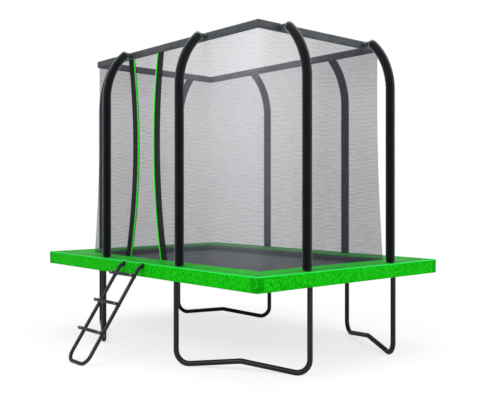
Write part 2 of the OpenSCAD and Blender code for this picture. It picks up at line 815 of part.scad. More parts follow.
// Webbing round the mat in four mitred strips, with a pocket for each V-ring
module border_strip(k)
    on_side(k, mat_out(k)) difference() {
        translate([0, 0, rail_z - border_t / 2]) linear_extrude(border_t) polygon([
            [-mat_along(k) + slip, 0], [mat_along(k) - slip, 0],
            [mat_along(k) - mat_border_w - slip, mat_border_w],
            [-mat_along(k) + mat_border_w + slip, mat_border_w]
        ]);
        for (x = spring_x(k))
            translate([x - ring_half - slip, -cut, rail_z - wire_r - slip])
                cube([2 * (ring_half + slip), ring_grip + cut + slip, wire_d + 2 * slip]);
    }
module mat_border() color(mat_black) for (k = [0 : 3]) border_strip(k);

// ---------------------------------------------------------------- ladder

// Puts children on the ladder's slope: -Z down it, +Y towards the trampoline
module on_slope()
    translate([0, -rail_y - slope_y, rail_z + slope_z]) rotate([-ladder_slope, 0, 0]) children();

// Hook over the rail, seen from the side: X outwards, Z up from the rail's centre
module hook_path(r, over) {
    bend(hook_r, r, 90, 90 + hook_wrap + over);
    translate([0, 0, hook_r]) bar_x(0, hook_flat + run_in, r);
    translate([hook_flat, 0, hook_r - hook_bend_r])
        bend(hook_bend_r, r + swell, 90 - hook_turn, 90);
}
module ladder_path(r, over) {
    side_l = slope_l - foot_bend_r;
    bar = ladder_half - foot_bend_r;
    for (s = [-1, 1]) translate([s * ladder_half, -rail_y, rail_z]) rotate([0, 0, -90])
        hook_path(r, over);
    on_slope() {
        for (s = [-1, 1]) translate([s * ladder_half, 0, -side_l])
            cylinder(h = side_l + run_in, r = r);
        translate([bar, 0, -side_l]) bend(foot_bend_r, r, -90, 0);
        translate([-bar, 0, -side_l]) bend(foot_bend_r, r, 180, 270);
        translate([0, 0, -slope_l]) bar_x(-bar, bar, r);
    }
}
module rung_bolt_holes()
    on_slope() for (s = [-1, 1] * ladder_half, z = RUNGS)
        translate([s, 0, -z]) bar_y(-2 * rung_d, ladder_d, bolt_d / 2 + slip);

module ladder_rails() color(black_steel)
    difference() {
        ladder_path(ladder_d / 2, 0);
        ladder_path(ladder_d / 2 - ladder_wall, 1);
        rung_bolt_holes();
    }

module ladder_rungs() color(slate)
    difference() {
        on_slope() for (z = RUNGS) translate([0, -rung_off, -z]) difference() {
            bar_x(-rung_l / 2, rung_l / 2, rung_d / 2);
            bar_x(-rung_l, rung_l, rung_d / 2 - ladder_wall);
        }
        rung_bolt_holes();
    }

// Plastic plug with a flange, along +Z out of the tube
module plug(r, bore, len, play) {
    translate([0, 0, -len]) cylinder(h = len + slip + 1, r = bore - play);
    difference() {
        translate([0, 0, slip]) cylinder(h = 3, r = r);
        translate([0, 0, 1.5]) cylinder(h = 3, r = bore - 4);
    }
}
module rung_caps() color(mat_black)
    on_slope() for (z = RUNGS, s = [-1, 1]) translate([s * rung_l / 2, -rung_off, -z])
        rotate([0, s * 90, 0]) plug(rung_d / 2, rung_d / 2 - ladder_wall, 12, slip);

module hook_caps() color(mat_black)
    for (s = [-1, 1]) translate([s * ladder_half, -rail_y, rail_z]) rotate([0, 0, -90])
        rotate([0, -hook_wrap, 0]) translate([0, 0, hook_r]) rotate([0, -90, 0])
            plug(ladder_d / 2, ladder_d / 2 - ladder_wall, 5, 4 * slip);

// Bolt through each crossing of rung and side tube, its nut behind
nut_t = 5;
module ladder_bolts() color(zinc)
    on_slope() for (s = [-1, 1] * ladder_half, z = RUNGS) translate([s, 0, -z]) {
        front = -rung_off - rung_d / 2;
        back = ladder_d / 2;
        bar_y(front, back + nut_t + 1, bolt_d / 2);
        translate([0, front, 0]) rotate([90, 0, 0]) cylinder(h = head_t, r = hex_r, $fn = 6);
        translate([0, back + nut_t, 0]) rotate([90, 0, 0]) cylinder(h = nut_t, r = hex_r, $fn = 6);
    }

// ---------------------------------------------------------------- nodes

long_rails();
short_rails();
corner_rails();
t_joints();
frame_screws();
leg_front_right();
leg_back_right();
leg_back_left();
leg_front_left();
leg_screws();
lower_poles();
upper_poles();
lower_foams();
upper_foams();
pole_caps();
ring_tubes();
ring_elbows();
ring_bolts();
band_front();
band_right();
band_back();
band_left();
net_front_left();
net_front_right();
net_door_flap();
net_right();
net_back();
net_left();
door_bands();
door_piping();
pad_cover_front();
pad_cover_right();
pad_cover_back();
pad_cover_left();
pad_foam_front();
pad_foam_right();
pad_foam_back();
pad_foam_left();
skirt_front();
skirt_right();
skirt_back();
skirt_left();
pad_straps();
springs_front();
springs_right();
springs_back();
springs_left();
mat();
mat_border();
v_rings();
ladder_rails();
ladder_rungs();
rung_caps();
ladder_bolts();
hook_caps();
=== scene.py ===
"""Looks of the rectangular trampoline: cloth, foam, net, mat and springs, and a finish for the rest.

Metres, in the CAD's frame: the origin is on the ground under the deck's middle, +X runs along the long
side, and -Y is the side with the door and the ladder. A side's number k is its place in SIDES.
"""

import math
from collections import namedtuple
from functools import partial

import bmesh
import bpy
import numpy as np
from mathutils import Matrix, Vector, noise


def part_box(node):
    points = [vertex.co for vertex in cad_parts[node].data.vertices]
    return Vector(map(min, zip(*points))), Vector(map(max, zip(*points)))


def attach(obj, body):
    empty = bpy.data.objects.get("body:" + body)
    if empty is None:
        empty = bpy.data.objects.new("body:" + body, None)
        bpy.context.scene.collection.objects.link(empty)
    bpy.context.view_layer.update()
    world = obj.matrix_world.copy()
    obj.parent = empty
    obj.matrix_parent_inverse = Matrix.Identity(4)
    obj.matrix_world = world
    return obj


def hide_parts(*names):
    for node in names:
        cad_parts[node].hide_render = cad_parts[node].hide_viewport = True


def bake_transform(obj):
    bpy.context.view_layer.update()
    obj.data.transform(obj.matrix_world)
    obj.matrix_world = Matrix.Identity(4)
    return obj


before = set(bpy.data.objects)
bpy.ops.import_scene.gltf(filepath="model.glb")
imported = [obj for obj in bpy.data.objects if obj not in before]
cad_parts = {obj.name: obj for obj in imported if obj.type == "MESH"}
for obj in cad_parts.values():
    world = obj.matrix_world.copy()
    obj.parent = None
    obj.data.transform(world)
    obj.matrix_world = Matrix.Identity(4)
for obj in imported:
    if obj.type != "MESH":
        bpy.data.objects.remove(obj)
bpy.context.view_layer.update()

# ---- sizes ----

SIDES = ("front", "right", "back", "left")

# The deck: half its size over the skirt, its heights, the pads' width and the rounded corners
HALF_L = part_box("skirt_right")[1].x
HALF_W = -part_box("skirt_front")[0].y
DECK_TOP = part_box("pad_cover_front")[1].z
PAD_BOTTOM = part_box("pad_cover_front")[0].z
SKIRT_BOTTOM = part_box("skirt_front")[0].z
PAD_BAND = 0.300
CORNER_R = 0.025

# The rails' centre lines
RAIL_INSET = 0.045
RAIL_X = HALF_L - RAIL_INSET
RAIL_Y = HALF_W - RAIL_INSET
RAIL_R = 0.021
RAIL_Z = (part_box("long_rails")[0].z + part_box("long_rails")[1].z) / 2

# The poles, two on each side, and the bend at their top
POLE_X = 0.553
POLE_Y = 0.502
POLE_INSET = 0.074
SLEEVE_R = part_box("lower_foams")[1].x - (HALF_L - POLE_INSET)
BEND_START = 2.224
BEND_R = 0.550
BEND_ANGLE = math.radians(50)
SLEEVE_FOOT = DECK_TOP + 0.0004
SLEEVE_BEND = BEND_START - SLEEVE_FOOT
SLEEVE_L = SLEEVE_BEND + BEND_R * BEND_ANGLE

# The top band and the net under it, which widens towards its foot
BAND_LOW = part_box("band_front")[0].z
BAND_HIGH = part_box("band_front")[1].z
BAND_T = 0.030
NET_TOP_X = 1.173
NET_TOP_Y = 0.718
NET_LOW_X = 1.210
NET_LOW_Y = 0.750
NET_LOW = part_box("net_back")[0].z
NET_HIGH = BAND_LOW + 0.004
NET_TILT_X = (NET_LOW_X - NET_TOP_X) / (BAND_LOW - NET_LOW)
NET_TILT_Y = (NET_LOW_Y - NET_TOP_Y) / (BAND_LOW - NET_LOW)
NET_BOW = 0.014
NET_BELLY = 0.006

# The door's edges are arcs: the side their panel lies on, and the arc's middle, radius and height
DoorEdge = namedtuple("DoorEdge", "name side middle radius height")
DOOR_EDGES = (
    DoorEdge("left", -1, -0.451, 5.6, 1.700),
    DoorEdge("right", 1, -0.222, 4.0, 1.890),
)
DOOR_LOW = NET_LOW + 0.001
DOOR_BAND_W = 0.100
TAPE_T = 0.0026
TAPE_OUT = 0.003
PIPING_W = 0.018
FLAP_LAP = 0.070

# Springs, mat and webbing. The bowl that the mat sinks in starts at one distance inboard of the rail,
# and has its full depth from the other distance on
SPRING_GAP = 0.215
SPRINGS_TO_POLE = 4
CORNER_CLEAR = 0.100
COIL_R = 0.0092
WIRE_R = 0.0018
RING_WIRE_R = 0.0019
BORDER_W = 0.050
MAT_T = 0.0025
BORDER_T = 0.0056
STITCH_ROW = 0.0125
BOWL_START = 0.02
BOWL_END = 0.95

# The pads: their sewn line, the drooping inner edge, and the lining below the vinyl
PAD_LOW = PAD_BOTTOM + 0.0002
SEAM_Y = 0.30 * PAD_BAND
DROOP = 0.009
DROOP_W = 0.060
LINING_DOWN = 0.010

# The skirt hangs in front of the pads' outer face
SKIRT_ROOM = 0.0042
SKIRT_INSET = 0.0012
SKIRT_TOP = DECK_TOP - 0.0065
SKIRT_T = 0.0022

# Notches in the pad and the skirt over the ladder's hooks
LADDER_HALF = 0.145
NOTCH_HALF = 0.018
NOTCH_IN = 0.0965
NOTCH_TOP = DECK_TOP - 0.0025
SKIRT_NOTCH = 0.7400

# ---- sides and shares ----


def is_long(k):
    return k % 2 == 0


def by_side(on_long, on_short):
    """A function of k: one value for the front and the back, another for the right and the left."""
    return lambda k: on_long if is_long(k) else on_short


# How far a side's line reaches along it, and how far out the line is
half_along, half_out = by_side(HALF_L, HALF_W), by_side(HALF_W, HALF_L)
rail_along, rail_out = by_side(RAIL_X, RAIL_Y), by_side(RAIL_Y, RAIL_X)
net_along, net_out = by_side(NET_TOP_X, NET_TOP_Y), by_side(NET_TOP_Y, NET_TOP_X)
net_spread, net_lean = by_side(NET_TILT_X, NET_TILT_Y), by_side(NET_TILT_Y, NET_TILT_X)
pole_along = by_side(POLE_X, POLE_Y)


def on_side(k, out, points):
    """Points given along side k, inboard from the line at this distance out, and up, in the frame."""
    p = np.asarray(points, float).reshape(-1, 3).copy()
    p[:, 1] -= out
    c, s = round(math.cos(k * math.pi / 2)), round(math.sin(k * math.pi / 2))
    return p @ np.array([[c, s, 0], [-s, c, 0], [0, 0, 1]], float)


def clamp(value):
    return min(max(value, 0), 1)


def ease(value):
    """0 below 0, 1 above 1, and a smooth step between them."""
    share = clamp(value)
    return share * share * (3 - 2 * share)


def ridge(distance, width):
    """1 on a line, falling to almost 0 at twice this width from it."""
    return math.exp(-((distance / width) ** 2))


def wobble(point, scale, seed=0.0):
    """Smooth noise from -1 to 1 at a point, with features of about 1 / scale metres."""
    return noise.noise(Vector(point) * scale + Vector((seed, seed * 0.7, seed * 1.3)))


# ---- mesh helpers ----


class Build:
    """Collects the grids and tubes of one piece, in the frame of side k at this distance out."""

    def __init__(self, k=0, out=0.0):
        self.k, self.out = k, out
        self.points, self.faces, self.uvs = [], [], []

    def grid(self, points, uvs, wrap=False):
        """Quads over an array of rows x columns x 3; wrap joins the last column to the first."""
        points = np.asarray(points, float)
        rows, columns = points.shape[:2]
        base = len(self.points)
        self.points.extend(points.reshape(-1, 3))
        self.uvs.extend(np.asarray(uvs, float).reshape(-1, 2))
        for i in range(rows - 1):
            for j in range(columns if wrap else columns - 1):
                n = (j + 1) % columns
                a, b = base + i * columns, base + (i + 1) * columns
                self.faces.append((a + j, a + n, b + n, b + j))
        return base

    def closed_grid(self, points, uvs):
        """A tube of rings with its two ends filled."""
        rows, columns = np.asarray(points).shape[:2]
        base = self.grid(points, uvs, wrap=True)
        self.faces.append(tuple(base + j for j in reversed(range(columns))))
        self.faces.append(tuple(base + (rows - 1) * columns + j for j in range(columns)))

    def tube(self, path, radius, sides, start_up=(0, 0, 1), radius_at=None):
        """A round tube along a path; radius_at(length from the start, angle) may vary it."""
        path = np.asarray(path, float)
        steps = np.linalg.norm(np.diff(path, axis=0), axis=1)
        along = np.concatenate([[0], np.cumsum(steps)])
        tangent = np.gradient(path, axis=0)
        tangent /= np.linalg.norm(tangent, axis=1)[:, None]
        normal = np.asarray(start_up, float)
        angles = np.arange(sides) * 2 * math.pi / sides
        rings, uvs = [], []
        for i, p in enumerate(path):
            normal = normal - (normal @ tangent[i]) * tangent[i]
            if np.linalg.norm(normal) < 1e-6:
                normal = np.cross(tangent[i], (1, 0, 0))
            normal /= np.linalg.norm(normal)
            side = np.cross(tangent[i], normal)
            r = np.array([radius_at(along[i], a) for a in angles]) if radius_at else radius
            offset = np.cos(angles)[:, None] * normal + np.sin(angles)[:, None] * side
            rings.append(p + offset * np.reshape(r, (-1, 1)))
            uvs.append(np.stack([np.full(sides, along[i]), angles * radius], 1))
        self.closed_grid(rings, uvs)

    def slab(self, points, uvs, up):
        """A thin closed sheet: the grid, moved half its thickness to each side along up."""
        points = np.asarray(points, float)
        rows, columns = points.shape[:2]
        half = np.asarray(up, float) / 2
        top = self.grid(points + half, uvs)
        low = self.grid(points - half, uvs)
        quads = (rows - 1) * (columns - 1)
        self.faces[-quads:] = [tuple(reversed(face)) for face in self.faces[-quads:]]
        ids = np.arange(rows * columns).reshape(rows, columns)
        rim = np.concatenate([ids[:, 0], ids[-1, 1:], ids[-2::-1, -1], ids[0, -2:0:-1]]).tolist()
        for a, b in zip(rim, rim[1:] + rim[:1]):
            self.faces.append((top + a, top + b, low + b, low + a))

    def piece(self, name, material, slot, smooth=True):
        """The mesh object, in the object's frame, with one UV (in metres) for each point."""
        points = on_side(self.k, self.out, self.points)
        mesh = bpy.data.meshes.new(name)
        mesh.from_pydata([tuple(p) for p in points], [], [tuple(f) for f in self.faces])
        layer = mesh.uv_layers.new(name="UVMap")
        corner = np.zeros(len(mesh.loops), np.int32)
        mesh.loops.foreach_get("vertex_index", corner)
        layer.data.foreach_set("uv", np.asarray(self.uvs, np.float32)[corner].ravel())
        mesh.polygons.foreach_set("use_smooth", [smooth] * len(mesh.polygons))
        mesh.materials.append(material)
        mesh.validate()
        turned = bmesh.new()
        turned.from_mesh(mesh)
        bmesh.ops.recalc_face_normals(turned, faces=turned.faces)
        turned.to_mesh(mesh)
        turned.free()
        mesh.update()
        obj = bpy.data.objects.new(name, mesh)
        bpy.context.scene.collection.objects.link(obj)
        return obj


# ---- materials ----


class Nodes:
    """Short names for the nodes of one material, or of the world."""

    def __init__(self, tree):
        self.nodes = tree.nodes
        self.links = tree.links

    def put(self, socket, value):
        """Sets a node's input, or links another node's output to it."""
        if isinstance(value, bpy.types.NodeSocket):
            self.links.new(value, socket)
        else:
            socket.default_value = value

    def node(self, kind, inputs, **settings):
        """A new node with these settings, and with values or sockets at its inputs."""
        node = self.nodes.new("ShaderNode" + kind)
        for key, value in settings.items():
            setattr(node, key, value)
        for key, value in inputs.items():
            self.put(node.inputs[key], value)
        return node

    def math(self, operation, *values):
        return self.node("Math", dict(enumerate(values)), operation=operation).outputs[0]

    def plus(self, level, other, share):
        """The level with this share of another one added."""
        return self.math("ADD", level, self.math("MULTIPLY", other, share))

    def is_ray(self, kind):
        return self.node("LightPath", {}).outputs[f"Is {kind} Ray"]

    def show(self, share, shader, other):
        """Shows one shader, which turns into the other as share goes from 0 to 1."""
        mix = self.node("MixShader", {0: share, 1: shader, 2: other})
        output = next(node for node in self.nodes if node.type.startswith("OUTPUT"))
        self.put(output.inputs["Surface"], mix.outputs[0])


class Paint(Nodes):
    """One procedural material on the principled shader."""

    def __init__(self, name, color, roughness, **constant):
        self.material = bpy.data.materials.new(name)
        self.material.use_nodes = True
        super().__init__(self.material.node_tree)
        self.shader = self.nodes["Principled BSDF"]
        self.place = self.coordinates("Object")
        self.set(Base_Color=(*color, 1), Roughness=roughness, **constant)

    def set(self, **inputs):
        for key, value in inputs.items():
            self.put(self.shader.inputs[key.replace("_", " ")], value)

    def coordinates(self, kind, scale=(1, 1, 1), turn=0.0):
        """kind is UV (metres along and across the piece) or Object (the frame's metres)."""
        source = self.node("TexCoord", {}).outputs[kind]
        inputs = {"Vector": source, "Scale": scale, "Rotation": (0, 0, turn)}
        return self.node("Mapping", inputs).outputs["Vector"]

    def axis(self, name):
        return self.node("SeparateXYZ", {"Vector": self.place}).outputs[name]

    def noise(self, scale, detail=3.0, roughness=0.55, vector=None):
        """Soft noise, 0 to 1, with this many features to a metre of the object."""
        inputs = {"Vector": vector or self.place, "Scale": scale, "Detail": detail, "Roughness": roughness}
        return self.node("TexNoise", inputs).outputs["Fac"]

    def wave(self, vector, period, across=False):
        """Stripes of this period in metres, 0 to 1, along the first or the second coordinate."""
        inputs = {"Vector": vector, "Scale": math.pi / (10 * period)}
        return self.node("TexWave", inputs, bands_direction="Y" if across else "X").outputs["Fac"]

    def ramp(self, value, *stops):
        """Colours or levels at places from 0 to 1."""
        node = self.node("ValToRGB", {"Fac": value})
        while len(node.color_ramp.elements) < len(stops):
            node.color_ramp.elements.new(0.5)
        for element, (place, color) in zip(node.color_ramp.elements, stops):
            element.position = place
            color = (color,) * 3 if isinstance(color, float) else color
            element.color = (*color, 1)
        return node.outputs["Color"]

    def color(self, value, *stops):
        self.set(Base_Color=self.ramp(value, *stops))

    def rough(self, value, low, high):
        self.set(Roughness=self.ramp(value, (0.3, low), (0.7, high)))

    def bump(self, height, distance, strength):
        """Relief on top of what is there already."""
        node = self.node("Bump", {"Height": height, "Distance": distance, "Strength": strength})
        before = self.shader.inputs["Normal"].links
        if before:
            self.put(node.inputs["Normal"], before[0].from_socket)
        self.set(Normal=node.outputs["Normal"])

    def weave(self, period, distance, strength):
        """Two crossed sets of threads as bump, and their height for the colour."""
        cloth = self.coordinates("UV")
        height = self.math("MAXIMUM", self.wave(cloth, period), self.wave(cloth, period, across=True))
        self.bump(height, distance, strength)
        return height


def powder_coat(name, dark, light, rough_low=0.34, rough_high=0.46):
    paint = Paint(name, light, 0.4, Specular_IOR_Level=0.22)
    paint.color(paint.noise(5.0), (0.35, dark), (0.65, light))
    paint.rough(paint.noise(22.0), rough_low, rough_high)
    paint.bump(paint.noise(700.0, detail=2.0), distance=0.0003, strength=0.35)
    return paint.material


def zinc_plate(name):
    paint = Paint(name, (0.62, 0.63, 0.65), 0.3, Metallic=1.0)
    paint.color(paint.noise(60.0), (0.3, (0.46, 0.47, 0.49)), (0.7, (0.66, 0.67, 0.69)))
    paint.rough(paint.noise(180.0), 0.24, 0.42)
    paint.bump(paint.noise(900.0, detail=2.0), distance=0.0002, strength=0.2)
    return paint.material


def moulded_plastic(name, color):
    paint = Paint(name, color, 0.5, Specular_IOR_Level=0.25)
    dull = tuple(c * 0.7 for c in color)
    paint.color(paint.noise(40.0), (0.3, dull), (0.7, color))
    paint.rough(paint.noise(90.0), 0.42, 0.56)
    paint.bump(paint.noise(1500.0, detail=2.0), distance=0.0002, strength=0.3)
    return paint.material


def sleeve_cloth(name, dark, light, shine, sheen):
    """Coated cloth round a foam tube, or round the top ring."""
    paint = Paint(name, light, 0.4, Specular_IOR_Level=shine)
    paint.set(Sheen_Weight=sheen, Sheen_Roughness=0.4, Sheen_Tint=(0.86, 0.94, 0.97, 1))
    threads = paint.weave(period=0.0011, distance=0.0003, strength=0.5)
    paint.color(paint.plus(paint.noise(7.0), threads, 0.25), (0.45, dark), (0.85, light))
    paint.rough(paint.noise(30.0), 0.32, 0.46)
    paint.bump(paint.noise(26.0), distance=0.0012, strength=0.4)
    return paint.material


def coated_vinyl(name, dark, mid, light, mottle=60.0, speckle=400.0, depth=0.0004, shine=0.12, corner=0.0):
    """Green coated cloth with grain and creases; the creases' low places are also painted darker, as painted
    shade.

    Within the corner distance of a deck corner the cloth is darker.
    """
    paint = Paint(name, mid, 0.42, Specular_IOR_Level=shine)
    creases = paint.noise(mottle, detail=5.0, roughness=0.62)
    grains = paint.noise(speckle, roughness=0.7)
    # The colour follows the creases' relief: painted shade in their low places, mixed with random grain
    level = paint.plus(paint.math("MULTIPLY", creases, 0.55), grains, 0.45)
    if corner:
        past_x, past_y = (
            paint.math("SUBTRACT", paint.math("ABSOLUTE", paint.axis(axis)), half - corner)
            for axis, half in (("X", HALF_L), ("Y", HALF_W))
        )
        by_corner = paint.math("GREATER_THAN", paint.math("MINIMUM", past_x, past_y), 0.0)
        level = paint.plus(level, by_corner, -0.06)
    paint.color(level, (0.38, dark), (0.50, mid), (0.64, light))
    paint.rough(grains, 0.34, 0.52)
    paint.weave(period=0.0013, distance=0.0003, strength=0.3)
    paint.bump(creases, depth, strength=0.6)
    return paint.material


def webbing(name, dark, light, period=0.0022):
    paint = Paint(name, light, 0.7, Specular_IOR_Level=0.1, Sheen_Weight=0.01)
    ribs = paint.weave(period, distance=0.0006, strength=0.8)
    patches = paint.math("MULTIPLY", paint.noise(25.0), 0.6)
    paint.color(paint.plus(patches, ribs, 0.4), (0.3, dark), (0.7, light))
    paint.rough(paint.noise(60.0), 0.6, 0.8)
    return paint.material


def mat_cloth(name, dark, light):
    """Woven polypropylene: fine flat tapes with a dull shine and patches of faint wear."""
    paint = Paint(name, dark, 0.55, Specular_IOR_Level=0.16)
    tapes = paint.weave(period=0.0026, distance=0.0004, strength=0.7)
    patches = paint.noise(3.2, detail=4.0, roughness=0.6)
    paint.color(paint.plus(patches, tapes, 0.22), (0.45, dark), (0.85, light))
    paint.rough(patches, 0.42, 0.56)
    return paint.material


# Round this point, within this reach, light is painted on the net: its yarns are painted paler and its cover
# thinner
NET_PAINTED_LIGHT_AT = (1.17, -0.72, 2.6)
NET_PAINTED_LIGHT_REACH = (1.5, 0.75, 2.6)
# What the net's pattern adds to its cover on average
NET_PATTERN = 0.37


def net_cloth(name, cover, dark, light, cell=0.0045):
    """Fine knitted mesh: its yarns are thinner than a pixel, so it reads as a veil with wavy ribs."""
    paint = Paint(name, dark, 0.75, Specular_IOR_Level=0.1)
    cloth = paint.coordinates("UV")
    yarns = paint.math("MAXIMUM", paint.wave(cloth, cell), paint.wave(cloth, cell * 0.8, across=True))
    # Denser towards the foot, and again just below the band
    share = paint.math("DIVIDE", paint.axis("Z"), BAND_LOW)
    veil = paint.ramp(share, (0.28, 0.065), (0.57, 0.042), (0.71, 0.018), (0.84, 0.005), (1.0, 0.06))
    veil = paint.plus(veil, paint.noise(2.3), 0.05)
    ribs = paint.coordinates("UV", scale=(8.0, 90.0, 1), turn=0.035)
    veil = paint.plus(veil, paint.noise(1.0, detail=2.0, roughness=0.6, vector=ribs), 0.26)
    # Slanting ripples of the knit, 36 mm and 18 mm apart
    for turn, period in ((0.15, 0.036), (-0.12, 0.0355), (0.13, 0.018)):
        ripple = paint.wave(paint.coordinates("UV", turn=turn), period, across=True)
        veil = paint.plus(veil, ripple, 0.03)
    veil = paint.plus(veil, yarns, 0.16)
    # Painted light round the near top corner: the yarns are painted paler there and the net is made thinner
    inputs = {"Vector": paint.place, "Location": NET_PAINTED_LIGHT_AT, "Scale": NET_PAINTED_LIGHT_REACH}
    reach = paint.node("Mapping", inputs, vector_type="TEXTURE").outputs["Vector"]
    painted_light = paint.node("TexGradient", {"Vector": reach}, gradient_type="SPHERICAL").outputs["Fac"]
    paint.color(painted_light, (0.0, dark), (1.0, light))
    veil = paint.plus(veil, painted_light, -0.11)
    paint.set(Alpha=paint.math("ADD", veil, cover - NET_PATTERN))
    paint.bump(yarns, distance=0.0004, strength=0.4)
    return paint.material


STEEL = powder_coat("powder_coat_black", (0.004, 0.0045, 0.005), (0.008, 0.009, 0.010))
LADDER_STEEL = powder_coat(
    "powder_coat_ladder", (0.005, 0.0065, 0.008), (0.011, 0.013, 0.015), rough_low=0.30, rough_high=0.42
)
ZINC = zinc_plate("zinc_plate")
SPRING_STEEL = zinc_plate("spring_wire")
BLACK_PLASTIC = moulded_plastic("black_plastic", (0.016, 0.016, 0.018))
CAP_RUBBER = moulded_plastic("cap_rubber", (0.040, 0.045, 0.050))
SEAM = moulded_plastic("pad_seam_thread", (0.004, 0.10, 0.008))
THREAD = moulded_plastic("seam_thread", (0.03, 0.03, 0.033))
SLEEVE = sleeve_cloth(
    "sleeve_cloth", (0.0010, 0.0011, 0.0013), (0.0022, 0.0025, 0.0029), shine=0.02, sheen=0.72
)
BAND = sleeve_cloth("band_cloth", (0.036, 0.041, 0.045), (0.060, 0.068, 0.074), shine=0.16, sheen=0.02)
PAD = coated_vinyl(
    "pad_vinyl", (0.010, 0.29, 0.014), (0.013, 0.36, 0.018), (0.018, 0.42, 0.024),
    mottle=9.0, speckle=160.0, depth=0.0012, shine=0.04,
)
SKIRT = coated_vinyl(
    "skirt_vinyl", (0.001, 0.16, 0.001), (0.002, 0.36, 0.001), (0.012, 0.58, 0.004),
    mottle=52.0, speckle=210.0, depth=0.0030, shine=0.03, corner=0.07,
)
# The pad piping is a real bead, but its bright green is partly a painted highlight along the deck's top edge
PIPING_PAINTED_HIGHLIGHT = coated_vinyl("piping_vinyl_painted_highlight", (0.006, 0.56, 0.05), (0.010, 0.66, 0.07), (0.016, 0.74, 0.09))
DOOR_PIPING = coated_vinyl("door_piping", (0.006, 0.50, 0.004), (0.012, 0.64, 0.006), (0.02, 0.74, 0.01))
WEBBING = webbing("door_webbing", (0.008, 0.0085, 0.0095), (0.016, 0.017, 0.019))
STRAP = webbing("strap_webbing", (0.010, 0.010, 0.011), (0.022, 0.022, 0.024), period=0.0016)
LINING = webbing("pad_lining", (0.110, 0.113, 0.125), (0.150, 0.154, 0.170), period=0.0020)
MAT = mat_cloth("mat_cloth", (0.092, 0.095, 0.108), (0.130, 0.134, 0.150))
MAT_BORDER = webbing("mat_webbing", (0.098, 0.101, 0.113), (0.136, 0.140, 0.155), period=0.0024)
NET = net_cloth("net_mesh", 0.53, (0.045, 0.043, 0.062), (0.290, 0.285, 0.335))
FAR_NET = net_cloth("net_mesh_back", 0.25, (0.085, 0.082, 0.108), (0.290, 0.285, 0.335))
HEM = net_cloth("net_hem", 0.62, (0.04, 0.04, 0.046), (0.08, 0.08, 0.09), cell=0.003)

# ---- foam sleeves of the poles ----


def pole_feet():
    """For each pole: its foot on the deck and the way inwards."""
    for k in range(4):
        inwards = on_side(k, 0, [(0, 1, 0)])[0]
        for along in (-pole_along(k), pole_along(k)):
            yield on_side(k, half_out(k), [(along, POLE_INSET, 0)])[0], inwards


def pole_path(foot, inwards):
    """Centre line from the deck up, round the bend to the tip."""
    path = [foot + np.array([0, 0, z]) for z in np.linspace(SLEEVE_FOOT, BEND_START, 60)]
    for turn in np.linspace(0, BEND_ANGLE, 33)[1:]:
        along = BEND_R * (1 - math.cos(turn))
        up = BEND_START + BEND_R * math.sin(turn)
        path.append(foot + inwards * along + np.array([0, 0, up]))
    return path


def sleeve_radius(seed, along, angle):
    """Radius of the cover at this length from its foot; the angle is 0 on the pole's inner side."""
    inset, uneven = 0.0006, 0.0008
    fold, fold_pitch = 0.0011, 0.052
    seam, seam_angle = 0.0009, 0.10
    hem, hem_l = 0.0016, 0.018
    around = (math.cos(angle) * 0.4, math.sin(angle) * 0.4, along)
    r = SLEEVE_R - inset + uneven * wobble(around, 7, seed)
    # Small folds on the inner side of the bend, where the cloth has too much length
    if along > SLEEVE_BEND:
        inner = max(0.0, math.cos(angle)) ** 2
        r -= fold * inner * (0.5 + 0.5 * math.sin((along - SLEEVE_BEND) * 2 * math.pi / fold_pitch))
    # A seam down the outer side, and a drawn-in hem at each end
    r -= seam * ridge(angle - math.pi, seam_angle)
    for end in (along, SLEEVE_L - along):
        r -= hem * max(0.0, 1 - end / hem_l) ** 2
    return r


def make_sleeves():
    build = Build()
    for index, (foot, inwards) in enumerate(pole_feet()):
        radius_at = partial(sleeve_radius, index * 3.1)
        build.tube(pole_path(foot, inwards), SLEEVE_R, 32, start_up=inwards, radius_at=radius_at)
    piece = build.piece("pole_sleeves", SLEEVE, "sleeve_cover")
    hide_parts("lower_foams", "upper_foams")
    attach(piece, "frame")


# ---- top band ----


def band_profile():
    """Round-ended strip seen from its end: inboard and up, from the band's middle."""
    count = 28
    straight = (BAND_HIGH - BAND_LOW - BAND_T) / 2
    r = BAND_T / 2
    points = []
    for i in range(count):
        a = 2 * math.pi * i / count + math.pi / count
        lift = straight if math.sin(a) > 0 else -straight
        points.append((r * math.cos(a), lift + r * math.sin(a)))
    return points


def make_bands():
    middle = (BAND_HIGH + BAND_LOW) / 2
    mitre_gap, tuck, uv_step = 0.0004, 0.0009, 0.0055
    for k, side in enumerate(SIDES):
        rings, uvs = [], []
        for share in np.linspace(-1, 1, 121 if is_long(k) else 77):
            ring, uv = [], []
            for j, (y, z) in enumerate(band_profile()):
                x = share * (net_along(k) - y - mitre_gap)
                # The cloth is pulled in a little between the places where it is tied to the ring
                pull = tuck * (wobble((x, y * 8, z * 6), 9, k) - 0.6)
                grow = 1 + pull / (BAND_T / 2)
                ring.append((x, y * grow, middle + z + (grow - 1) * 0.3 * z))
                uv.append((x, j * uv_step))
            rings.append(ring)
            uvs.append(uv)
        build = Build(k, net_out(k))
        build.closed_grid(rings, uvs)
        piece = build.piece(f"band_cover_{side}", BAND, "band_cover")
        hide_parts(f"band_{side}")
        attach(piece, "frame")


# ---- nets ----


def net_blend(piece):
    """On the real trampoline the net's foot goes down with the mat under it and its upper part stays; this
    works out the share of the bowl's depth at the foot, leaves it unused, and bakes the piece's transform.
    """
    wanted = ease((RAIL_Y - NET_LOW_Y - BOWL_START) / (BOWL_END - BOWL_START))
    low, high = 0.0, 1.0
    for _ in range(40):
        mid = (low + high) / 2
        low, high = (mid, high) if ease(mid) < wanted else (low, mid)
    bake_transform(piece)


def mid_height(z):
    """0 at the net's foot and at the band, and 1 half way between them."""
    return math.sin(math.pi * clamp((z - NET_LOW) / (BAND_LOW - NET_LOW)))


